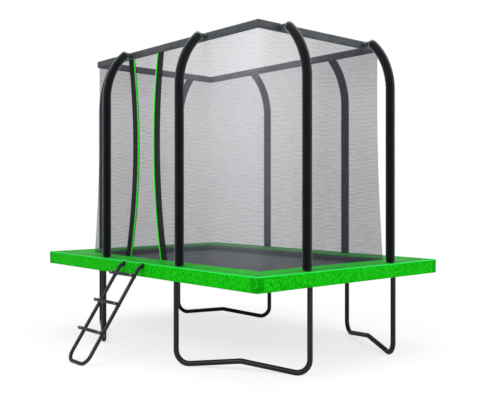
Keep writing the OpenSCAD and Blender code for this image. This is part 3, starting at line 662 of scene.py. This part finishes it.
def net_point(k, x, z, layer):
    """A point on side k's net, layer inboard of it; the pull of band and foot draws the cloth in."""
    return x, -net_lean(k) * (BAND_LOW - z) + NET_BOW * mid_height(z) + layer, z


def net_end(k, end, z):
    """Where side k's net ends at this height, at its left (-1) or right (1) corner."""
    return end * (net_along(k) + net_spread(k) * (BAND_LOW - z) - NET_BOW * mid_height(z))


def door_x(edge, back, z):
    """The place this far behind a door edge at this height."""
    bow = edge.radius - math.sqrt(edge.radius**2 - (z - edge.height) ** 2)
    return edge.middle + edge.side * (bow + back)


def slack(k, x, z, belly=NET_BELLY):
    """The net bellies a little between its top, its foot and its corners."""
    ripple, corner_w = 0.0022, 0.12
    across = math.cos(math.pi / 2 * clamp(abs(x) / net_along(k)))
    inwards = clamp((net_end(k, 1, z) - abs(x)) / corner_w)
    return mid_height(z) * (belly * across + ripple * wobble((x, k * 5.0, z * 0.5), 4) * inwards)


def net_sheet(name, k, heights, columns, left_of, right_of, material, point_at):
    """A cloth on side k's net; point_at(x, z) gives its points."""
    rows = [[(x, z) for x in np.linspace(left_of(z), right_of(z), columns + 1)] for z in heights]
    build = Build(k, net_out(k))
    build.grid([[point_at(x, z) for x, z in row] for row in rows], rows)
    piece = build.piece(name, material, "net_mesh")
    net_blend(piece)
    return piece


def make_panel(name, node, k, left_of, right_of, columns, layer=0.0, belly=NET_BELLY):
    rows = 72
    # The bowed cloth is a little longer than it is high
    heights = np.linspace(NET_LOW, NET_HIGH, rows + 1)
    step = (NET_HIGH - NET_LOW) / rows

    def bellied(x, z):
        px, py, pz = net_point(k, x, z, layer)
        return px, py + slack(k, x, z, belly), pz

    material = NET if SIDES[k] in ("front", "right") else FAR_NET
    piece = net_sheet(name, k, heights, columns, left_of, right_of, material, bellied)
    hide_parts(node)
    widths = [right_of(z) - left_of(z) for z in heights]
    area = sum((a + b) / 2 * step for a, b in zip(widths, widths[1:]))
    width = max(right_of(z) - left_of(z) for z in np.linspace(NET_LOW, NET_HIGH, 30))
    hem = make_hem(f"{name}_hem", k, left_of(NET_LOW), right_of(NET_LOW), layer)


def make_hem(name, k, left, right, layer):
    """Tape along the net's foot."""
    hem_h = 0.028
    hem_out = 0.0012
    heights = np.linspace(NET_LOW, NET_LOW + hem_h, 3)
    taped = partial(net_point, k, layer=layer - hem_out)
    return net_sheet(name, k, heights, 60, lambda z: left, lambda z: right, HEM, taped)


def make_nets():
    left, right = DOOR_EDGES
    start, stop = partial(net_end, 0, -1), partial(net_end, 0, 1)
    make_panel("net_panel_front_left", "net_front_left", 0, start, partial(door_x, left, 0), 30)
    make_panel("net_panel_front_right", "net_front_right", 0, partial(door_x, right, 0), stop, 60)
    for k, side in enumerate(SIDES[1:], 1):
        start, stop = partial(net_end, k, -1), partial(net_end, k, 1)
        make_panel(f"net_panel_{side}", f"net_{side}", k, start, stop, 96 if is_long(k) else 60)
    start, stop = partial(door_x, left, FLAP_LAP), partial(door_x, right, FLAP_LAP)
    make_panel("net_panel_door", "net_door_flap", 0, start, stop, 24, layer=0.0035, belly=0.0045)


# ---- door webbing and piping ----


def make_door_tape(edge):
    """Webbing along a door edge, outside the net."""
    backs = np.linspace(0, DOOR_BAND_W, 9)
    heights = np.linspace(DOOR_LOW, NET_HIGH, 91)
    points = []
    for z in heights:
        row = [net_point(0, door_x(edge, back, z), z, -TAPE_OUT) for back in backs]
        points.append([(x, y + slack(0, x, z) * 0.2, z) for x, y, z in row])
    build = Build(0, net_out(0))
    build.slab(points, [[(back, z) for back in backs] for z in heights], (0, -TAPE_T * edge.side, 0))
    tape = build.piece(f"door_tape_{edge.name}", WEBBING, "door_webbing", smooth=False)
    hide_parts("door_bands")
    net_blend(tape)


def make_door_stitches(edge):
    """Rows of stitches along the webbing, one stitch at a time."""
    stitch, pitch, thread_r = 0.0065, 0.0105, 0.0007
    in_from_edge, from_end = 0.004, 0.01
    out = TAPE_OUT + TAPE_T / 2 + 0.0002
    build = Build(0, net_out(0))
    for back in (PIPING_W + in_from_edge, DOOR_BAND_W / 2, DOOR_BAND_W - in_from_edge):
        z = NET_LOW + from_end
        while z < BAND_LOW - from_end:
            ends = [net_point(0, door_x(edge, back, end), end, -out) for end in (z, z + stitch)]
            build.tube(ends, thread_r, 5, start_up=(1, 0, 0))
            z += pitch
    net_blend(build.piece(f"door_stitches_{edge.name}", THREAD, "door_webbing"))


def make_door_piping(edge):
    """A half-round bead folded over the webbing's edge."""
    bead_h = 0.0032
    out = TAPE_OUT + TAPE_T / 2 - 0.0001
    rings, uvs = [], []
    for z in np.linspace(DOOR_LOW, NET_HIGH - 0.001, 111):
        ring, uv = [], []
        for a in np.arange(12) * 2 * math.pi / 12:
            back = PIPING_W / 2 - math.cos(a) * PIPING_W / 2
            rise = bead_h * (0.5 + 0.5 * math.sin(a))
            ring.append(net_point(0, door_x(edge, back, z), z, -out - rise))
            uv.append((back, z))
        rings.append(ring)
        uvs.append(uv)
    build = Build(0, net_out(0))
    build.closed_grid(rings, uvs)
    bead = build.piece(f"door_piping_{edge.name}", DOOR_PIPING, "piping")
    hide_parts("door_piping")
    net_blend(bead)


# ---- pads, skirt and piping ----


def half_line(k):
    """Half the length of side k's outer line, from its middle round the corner to the mitre."""
    return half_along(k) - CORNER_R + CORNER_R * math.pi / 4


def outer_line(k, share, inset=0.0):
    """A point on side k's rounded outer line (share -1 to 1, mitre to mitre), and its way out."""
    r = CORNER_R - inset
    straight = half_along(k) - CORNER_R
    s = share * (straight + r * math.pi / 4)
    if abs(s) <= straight:
        return (s, inset), (0.0, -1.0)
    sign = 1 if s > 0 else -1
    a = (abs(s) - straight) / r
    x = straight + r * math.sin(a)
    y = inset + r * (1 - math.cos(a))
    return (sign * x, y), (sign * math.sin(a), -math.cos(a))


def in_notch(k, x):
    """Whether a point along side k is over one of the ladder's hooks."""
    return k == 0 and abs(abs(x) - LADDER_HALF) < NOTCH_HALF


def over_hook(k, x):
    """1 over one of the ladder's hooks, falling to 0 at either side of it."""
    slope = 0.022
    beside = abs(abs(x) - LADDER_HALF) - NOTCH_HALF
    return ease(1 - beside / slope) if k == 0 else 0.0


def pad_columns(k, count):
    """Shares along a side: even steps, finer at the corners, with pairs at the sides of the notches."""
    total, pair = half_line(k), (-0.0004, 0.0004)
    shares = set(np.linspace(-1, 1, count + 1))
    shares |= {sign * (1 - CORNER_R / total * step / 8) for sign in (-1, 1) for step in range(9)}
    if k == 0:
        for hook in (-LADDER_HALF, LADDER_HALF):
            for edge in (-NOTCH_HALF, NOTCH_HALF):
                shares |= {(hook + edge + step) / total for step in pair}
    return sorted(shares)


def pad_low(y):
    """The inner edge of a pad droops a little between the springs and the mat."""
    return PAD_LOW - DROOP * ease((y - PAD_BAND + DROOP_W) / DROOP_W)


def pad_section():
    """Round-cornered closed section of a pad: inboard from the outer line, and up."""
    r = 0.009
    seam_step = 0.005
    middle = (PAD_LOW + DECK_TOP) / 2

    def corner(y, z, start):
        angles = start + np.linspace(0, math.pi / 2, 6)
        return [(y + r * math.cos(a), z + r * math.sin(a)) for a in angles]

    by_seam = [SEAM_Y + seam_step * step for step in range(-3, 4)]
    on_top = sorted([*np.linspace(PAD_BAND - r, r, 18)[1:-1], *by_seam], reverse=True)
    return [
        *corner(PAD_BAND - r, pad_low(PAD_BAND) + r, -math.pi / 2),
        (PAD_BAND, middle),
        (PAD_BAND, DECK_TOP - LINING_DOWN),
        *corner(PAD_BAND - r, DECK_TOP - r, 0),
        *[(y, DECK_TOP) for y in on_top],
        *corner(r, DECK_TOP - r, math.pi / 2),
        (0.0, middle),
        *corner(r, PAD_LOW + r, math.pi),
        *[(y, pad_low(y)) for y in np.linspace(r, PAD_BAND - r, 16)[1:-1]],
    ]


def pad_swell(k, x, y):
    """How far the cover stands up or in: a shallow crown, soft dents, drawn in at seams and poles."""
    crown, dent, small_dent = 0.003, 0.0014, 0.0007
    mitre, mitre_w = 0.0045, 0.02
    seam, seam_w = 0.002, 0.0054
    pole, pole_w, beside_pole = 0.0022, 0.014, 0.003
    to_mitre = (half_along(k) - y - abs(x)) * math.sqrt(0.5)
    to_pole = min(math.hypot(x - side * pole_along(k), y - POLE_INSET) for side in (-1, 1)) - SLEEVE_R
    up = crown * math.sin(math.pi * clamp(y / PAD_BAND))
    up += dent * wobble((x, y + k * 3.0, 0), 13) + small_dent * wobble((x, y, k * 2.0), 38)
    up -= mitre * ridge(to_mitre, mitre_w) + seam * ridge(y - SEAM_Y, seam_w)
    return up - pole * ridge(to_pole - beside_pole, pole_w)


def pad_ring(k, share):
    """The section of side k's pad at this share of its length."""
    swell_depth = 0.012
    mitre_gap, mitre_share = 0.0006, 0.03
    (ox, oy), _ = outer_line(k, share, SKIRT_ROOM)
    ix = share * (half_along(k) - PAD_BAND)
    ring = []
    for y, z in pad_section():
        part = y / PAD_BAND
        x = ox + (ix - ox) * part
        py = oy + (PAD_BAND - oy) * part
        # A hair's breadth between the pads of two sides, along the mitre
        x -= math.copysign(mitre_gap, x) * max(0.0, abs(share) - 1 + mitre_share) / mitre_share
        if z >= DECK_TOP - swell_depth:
            z += pad_swell(k, x, py)
        if in_notch(k, ox) and py < NOTCH_IN:
            z = max(z, NOTCH_TOP)
        ring.append((x, py, z))
    return ring


def make_pads():
    for k, side in enumerate(SIDES):
        rings = np.array([pad_ring(k, share) for share in pad_columns(k, 150 if is_long(k) else 104)])
        heights = np.array([z for _, z in pad_section()])
        build = Build(k, half_out(k))
        build.closed_grid(rings, np.stack([rings[:, :, 0], rings[:, :, 1] + heights], 2))
        piece = build.piece(f"pad_{side}", PAD, "pad_cover")
        piece.data.materials.append(LINING)
        for face in piece.data.polygons:
            face.material_index = int(face.center.z < DECK_TOP - LINING_DOWN)
        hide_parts(f"pad_cover_{side}", f"pad_foam_{side}")
        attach(piece, "frame")


def make_pad_seams():
    """A dark cord sewn along each pad, from mitre to mitre."""
    cord_r, mitre_gap = 0.0028, 0.002
    for k, side in enumerate(SIDES):
        half = half_along(k) - SEAM_Y - mitre_gap
        xs = np.linspace(-half, half, 240)
        build = Build(k, half_out(k))
        build.tube([(x, SEAM_Y, DECK_TOP + pad_swell(k, x, SEAM_Y)) for x in xs], cord_r, 8)
        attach(build.piece(f"pad_seam_{side}", SEAM, "pad_cover"), "frame")


def skirt_point(k, share, height):
    """A point on the skirt's face; height is 0 at its foot and 1 at its top."""
    flare, crease, tuck, tuck_h = 0.0022, 0.0007, 0.002, 0.006
    (x, y), (nx, ny) = outer_line(k, share, SKIRT_INSET)
    top = SKIRT_NOTCH if in_notch(k, x) else SKIRT_TOP
    z = SKIRT_BOTTOM + (top - SKIRT_BOTTOM) * height
    out = flare * (1 - height) * (wobble((x, k * 4.0, 0), 6) - 0.5)
    out += crease * (wobble((x, z * 2, k * 4.0), 42) - 0.6)
    # Sewn under the piping at the top
    out -= tuck * max(0.0, 1 - (SKIRT_TOP - z) / tuck_h)
    return x + nx * out, y + ny * out, z


def make_skirts():
    rows = 16
    for k, side in enumerate(SIDES):
        shares = pad_columns(k, 190 if is_long(k) else 130)
        outer = np.array([[skirt_point(k, share, i / rows) for share in shares] for i in range(rows + 1)])
        ways_out = np.array([(*outer_line(k, share)[1], 0) for share in shares])
        inner = outer - ways_out * SKIRT_T
        uvs = outer[:, :, [0, 2]]
        build = Build(k, half_out(k))
        front = build.grid(outer, uvs)
        back = build.grid(inner[:, ::-1], uvs[:, ::-1])
        # The two faces are joined along the foot and along the top
        width = len(shares)
        for row in (0, rows):
            for j in range(width - 1):
                a = front + row * width + j
                b = back + (row + 1) * width - j - 2
                build.faces.append((a + 1, a, b + 1, b) if row == 0 else (a, a + 1, b, b + 1))
        piece = build.piece(f"skirt_cloth_{side}", SKIRT, "skirt_fabric")
        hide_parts(f"skirt_{side}")
        flat = (SKIRT_TOP - SKIRT_BOTTOM, 2 * half_line(k))
        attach(piece, "frame")


def edge_bead(name, material, slot, radius, height, inset, lift=0.0):
    """A bead of piping round the deck, one run for each side, lifted where a hook swings up to it."""
    reach = 0.9995
    for k, side in enumerate(SIDES):
        # Fine enough for the rise over the hooks
        count = 600 if lift and k == 0 else 150 if is_long(k) else 110
        path = []
        for share in np.linspace(-reach, reach, count):
            (x, y), _ = outer_line(k, share, inset)
            path.append((x, y, height + lift * over_hook(k, x)))
        build = Build(k, half_out(k))
        build.tube(path, radius, 10)
        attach(build.piece(f"{name}_{side}", material, slot), "frame")


# ---- mat, webbing, rings and springs ----


def bowl_blend(piece, k):
    """On the real trampoline the mat and what it pulls on sink into a bowl, deepest in the middle; this
    works out where side k's bowl starts and ends, leaves both unused, and bakes the piece's transform.
    """
    start, end = on_side(k, rail_out(k), [(0, y, RAIL_Z) for y in (BOWL_START, BOWL_END)])
    tuple(start)
    tuple(end)
    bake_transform(piece)


def mat_strip(k, near, far, columns, rows, thick):
    """A mitred strip of side k between two distances from the rail, in its own frame, with world UVs."""
    mitre_gap = 0.0003
    points, uvs = [], []
    for y in np.linspace(near, far, rows + 1):
        half = rail_along(k) - y - mitre_gap
        row = [(x, y, RAIL_Z) for x in np.linspace(-half, half, columns + 1)]
        points.append(row)
        uvs.append(on_side(k, rail_out(k), row)[:, :2])
    build = Build(k, rail_out(k))
    build.slab(points, uvs, (0, 0, thick))
    return build


def make_mat():
    edge = SPRING_GAP + BORDER_W
    for k, side in enumerate(SIDES):
        build = mat_strip(k, edge, BOWL_END, 90 if is_long(k) else 60, 34, MAT_T)
        piece = build.piece(f"mat_{side}", MAT, "mat_weave")
        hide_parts("mat")
        wide, narrow = 2 * (rail_along(k) - edge), 2 * (rail_along(k) - BOWL_END)
        bowl_blend(piece, k)
    half_x, half_y = RAIL_X - BOWL_END, RAIL_Y - BOWL_END
    xs, ys = np.linspace(-half_x, half_x, 50), np.linspace(-half_y, half_y, 9)
    rows = np.array([[(x, y, RAIL_Z) for x in xs] for y in ys])
    build = Build()
    build.slab(rows, rows[:, :, :2], (0, 0, MAT_T))
    piece = build.piece("mat_middle", MAT, "mat_weave")
    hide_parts("mat")
    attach(piece, "mat")


def make_mat_stitches(k, side):
    """Zigzags of thread along the webbing's three rows."""
    stitch, pitch, tilt, thread_r = 0.0055, 0.009, 0.0018, 0.0006
    from_end = 0.01
    z = RAIL_Z + 0.0026
    build = Build(k, rail_out(k))
    for row, turn in ((1, tilt), (2, -tilt), (3, tilt)):
        y = SPRING_GAP + row * STITCH_ROW
        half = rail_along(k) - y - from_end
        count = int(2 * half / pitch)
        for i in range(count):
            x = -half + 2 * half * i / count
            build.tube([(x, y - turn, z), (x + stitch, y + turn, z)], thread_r, 4)
    bowl_blend(build.piece(f"mat_stitches_{side}", THREAD, "mat_webbing"), k)


def make_mat_border():
    for k, side in enumerate(SIDES):
        columns = 260 if is_long(k) else 170
        build = mat_strip(k, SPRING_GAP, SPRING_GAP + BORDER_W, columns, 10, BORDER_T)
        # Puffed between the rows of stitches
        for point in build.points:
            puff = 0.75 + 0.25 * abs(math.sin(math.pi * (point[1] - SPRING_GAP) / STITCH_ROW)) ** 0.5
            point[2] = RAIL_Z + (point[2] - RAIL_Z) * puff
        piece = build.piece(f"mat_tape_{side}", MAT_BORDER, "mat_webbing")
        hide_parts("mat_border")
        bowl_blend(piece, k)
        make_mat_stitches(k, side)


def spring_places(k):
    pitch = pole_along(k) / SPRINGS_TO_POLE
    half = math.floor((rail_along(k) - SPRING_GAP - CORNER_CLEAR) / pitch + 0.5)
    return [(i + 0.5) * pitch for i in range(-half, half)]


def ring_path(x):
    """A triangular wire loop whose base sits in the webbing and whose tip faces the spring."""
    base, tip, half, bend = SPRING_GAP + 0.01, SPRING_GAP - 0.024, 0.015, 0.0045
    corners = [Vector((x - half, base, RAIL_Z)), Vector((x + half, base, RAIL_Z)), Vector((x, tip, RAIL_Z))]
    path = []
    for i, corner in enumerate(corners):
        before, after = corners[i - 1], corners[(i + 1) % 3]
        a = corner + (before - corner).normalized() * bend
        b = corner + (after - corner).normalized() * bend
        path += [tuple(a), tuple(a.lerp(b, 0.5).lerp(corner, 0.45)), tuple(b)]
    return path + path[:1]


def spring_path(x):
    """Hook in the rail's slot, coil, and hook down through the ring: one unbroken wire."""
    turns, steps = 19, 10
    slot, start = RAIL_R - 0.0085, 0.0362
    stop, hook = SPRING_GAP - 0.0285, SPRING_GAP - 0.0125
    # Along the spring and up from the rail's height, before and after the coil
    near = ((slot, -0.0075), (slot, -0.002), (slot + 0.002, 0), (start - 0.0062, 0), (start - 0.0027, 0.003))
    far = ((stop + 0.003, 0.0052), (hook - 0.003, 0.005), (hook, 0.0035), (hook, -0.0085))
    path = [(x, y, RAIL_Z + up) for y, up in near]
    for i in range(turns * steps + 1):
        a = 2 * math.pi * i / steps
        y = start + (stop - start) * i / (turns * steps)
        path.append((x + COIL_R * math.sin(a), y, RAIL_Z + COIL_R * math.cos(a)))
    return path + [(x, y, RAIL_Z + up) for y, up in far]


def make_wires(name, node, k, paths, radius, start_up):
    """A row of bent wires between the rail and the mat."""
    build = Build(k, rail_out(k))
    for path in paths:
        build.tube(path, radius, 6, start_up=start_up)
    piece = build.piece(name, SPRING_STEEL, "spring_steel")
    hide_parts(node)
    bowl_blend(piece, k)


def make_springs():
    for k, side in enumerate(SIDES):
        places = spring_places(k)
        make_wires(f"spring_coils_{side}", f"springs_{side}", k, map(spring_path, places), WIRE_R, (1, 0, 0))
        make_wires(f"v_ring_wires_{side}", "v_rings", k, map(ring_path, places), RING_WIRE_R, (0, 0, 1))


def strap_rings(x):
    """Sections of an elastic loop round the rail, and their UVs, in the side's own frame."""
    wide, thick, uv_step = 0.020, 0.0014, 0.004
    rail_gap, pad_gap = 0.0003, 0.0004
    r = RAIL_R + rail_gap + thick / 2
    top = PAD_BOTTOM - RAIL_Z - pad_gap
    arc = [(r * math.cos(a), r * math.sin(a)) for a in np.linspace(math.pi, 2 * math.pi, 17)]
    rings, uvs = [], []
    for n, (y, z) in enumerate([(-r, top), *arc, (r, top)]):
        ny, nz = y / r * thick / 2, 0 if z == top else z / r * thick / 2
        corners = ((-wide, -1), (wide, -1), (wide, 1), (-wide, 1))
        rings.append([(x + dx / 2, y + ny * way, RAIL_Z + z + nz * way) for dx, way in corners])
        uvs.append([(dx, n * uv_step) for dx in (0, wide, wide, 0)])
    return rings, uvs


def make_straps():
    """Elastic loops from the pads' underside round the rails, this many spring pitches from the middle."""
    places = (-6, -2, 0, 2, 6)
    build = Build()
    for k in range(4):
        pitch = pole_along(k) / SPRINGS_TO_POLE
        for place in places:
            rings, uvs = strap_rings(place * pitch)
            build.closed_grid(on_side(k, rail_out(k), rings).reshape(np.shape(rings)), uvs)
    piece = build.piece("strap_loops", STRAP, "strap_webbing", smooth=False)
    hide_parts("pad_straps")
    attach(piece, "frame")


# ---- finishes of the carried nodes ----

FINISHES = {
    STEEL: (
        "long_rails", "short_rails", "corner_rails", "t_joints", "lower_poles", "upper_poles",
        "ring_tubes", "ring_elbows", "leg_front_right", "leg_back_right", "leg_back_left", "leg_front_left",
    ),
    ZINC: ("frame_screws", "leg_screws", "ring_bolts", "ladder_bolts"),
    LADDER_STEEL: ("ladder_rails", "ladder_rungs"),
    BLACK_PLASTIC: ("rung_caps", "hook_caps"),
    CAP_RUBBER: ("pole_caps",),
}


def finish_nodes():
    for material, names in FINISHES.items():
        for name in names:
            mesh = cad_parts[name].data
            mesh.materials.clear()
            mesh.materials.append(material)


# ---- stage ----

WHITE = (1, 1, 1, 1)
WHITE_SEEN = 1.0
# The floor near the object keeps its shadow, and further out it is as white as the backdrop
FLOOR_HALF = 30.0
SHADOW_R = 1.2
WHITE_R = 2.8
WHITE_NEAR = 0.72
WORLD_LIGHT = 0.62

# Each lamp's place, its target, its size and its power in watts
LAMPS = {
    "key": ((1.5, -6.5, 5.0), (0, 0, 1.1), (4.0, 3.0), 330),
    "fill": ((6.5, 1.0, 3.6), (0, 0, 1.1), (4.0, 3.0), 205),
    "top": ((-0.5, 0.5, 6.5), (0, 0, 0.8), (5.0, 4.0), 160),
}

# The camera stands level with the net's lower part and looks across the near corner
CAMERA_PLACE = (5.2202, -4.4343, 1.349)
CAMERA_AHEAD = (-0.7511, 0.6602, 0.0)
FOCAL_PX = 725.75
IMAGE_W, IMAGE_H = 485, 400
HORIZON_ROW = 194.92


def make_floor():
    """A pale floor that the camera sees as white, with the object's shadow kept."""
    corners = [(x * FLOOR_HALF, y * FLOOR_HALF, 0) for x, y in ((-1, -1), (1, -1), (1, 1), (-1, 1))]
    mesh = bpy.data.meshes.new("floor")
    mesh.from_pydata(corners, [], [(0, 1, 2, 3)])
    floor = bpy.data.objects.new("floor", mesh)
    bpy.context.scene.collection.objects.link(floor)
    paint = Paint("floor_paper", (0.90, 0.90, 0.90), 0.9)
    paint.color(paint.noise(0.7), (0.3, 0.88), (0.7, 0.91))
    glow = paint.node("Emission", {"Color": WHITE, "Strength": WHITE_SEEN})
    away = paint.node("VectorMath", {0: paint.place}, operation="LENGTH").outputs["Value"]
    inputs = {"Value": away, "From Min": SHADOW_R, "From Max": WHITE_R, "To Min": WHITE_NEAR}
    white = paint.node("MapRange", inputs, interpolation_type="SMOOTHSTEP").outputs["Result"]
    seen = paint.math("MULTIPLY", paint.is_ray("Camera"), white)
    paint.show(seen, paint.shader.outputs[0], glow.outputs[0])
    mesh.materials.append(paint.material)


def make_world():
    """Soft light on the object; the camera, and what shows through glass or net, sees white."""
    world = bpy.data.worlds.new("studio")
    bpy.context.scene.world = world
    world.use_nodes = True
    tree = Nodes(world.node_tree)
    soft = tree.nodes["Background"]
    tree.put(soft.inputs["Color"], WHITE)
    tree.put(soft.inputs["Strength"], WORLD_LIGHT)
    white = tree.node("Background", {"Color": WHITE, "Strength": WHITE_SEEN})
    seen = tree.math("MAXIMUM", tree.is_ray("Camera"), tree.is_ray("Transmission"))
    tree.show(seen, soft.outputs[0], white.outputs[0])


def make_lamps():
    for name, (place, target, size, power) in LAMPS.items():
        data = bpy.data.lights.new(name, "AREA")
        data.shape = "RECTANGLE"
        data.size, data.size_y = size
        data.energy = power
        lamp = bpy.data.objects.new(name, data)
        lamp.location = place
        lamp.rotation_mode = "QUATERNION"
        lamp.rotation_quaternion = (Vector(place) - Vector(target)).to_track_quat("Z", "Y")
        bpy.context.scene.collection.objects.link(lamp)


def make_camera():
    data = bpy.data.cameras.new("camera")
    data.sensor_fit = "HORIZONTAL"
    data.sensor_width = 36.0
    data.lens = FOCAL_PX * data.sensor_width / IMAGE_W
    data.shift_y = (HORIZON_ROW - IMAGE_H / 2) / IMAGE_W
    camera = bpy.data.objects.new("camera", data)
    camera.location = CAMERA_PLACE
    camera.rotation_mode = "QUATERNION"
    camera.rotation_quaternion = Vector(CAMERA_AHEAD).to_track_quat("-Z", "Y")
    bpy.context.scene.collection.objects.link(camera)
    bpy.context.scene.camera = camera


# ---- the scene ----

bpy.context.scene.view_settings.view_transform = "Standard"
make_camera()
make_world()
make_lamps()
make_floor()
finish_nodes()
make_sleeves()
make_bands()
make_nets()
for door_edge in DOOR_EDGES:
    make_door_tape(door_edge)
    make_door_stitches(door_edge)
    make_door_piping(door_edge)
make_pads()
make_pad_seams()
make_skirts()
# The pad piping carries a painted highlight: its bright green stands in for the light along the deck's top
# edge
edge_bead(
    "pad_piping", PIPING_PAINTED_HIGHLIGHT, "pad_cover", radius=0.0042, height=DECK_TOP - 0.0035, inset=0.0035, lift=0.0062
)
edge_bead("skirt_hem", SKIRT, "skirt_fabric", radius=0.0022, height=SKIRT_BOTTOM + 0.0026, inset=0.0024)
make_mat()
make_mat_border()
make_springs()
make_straps()
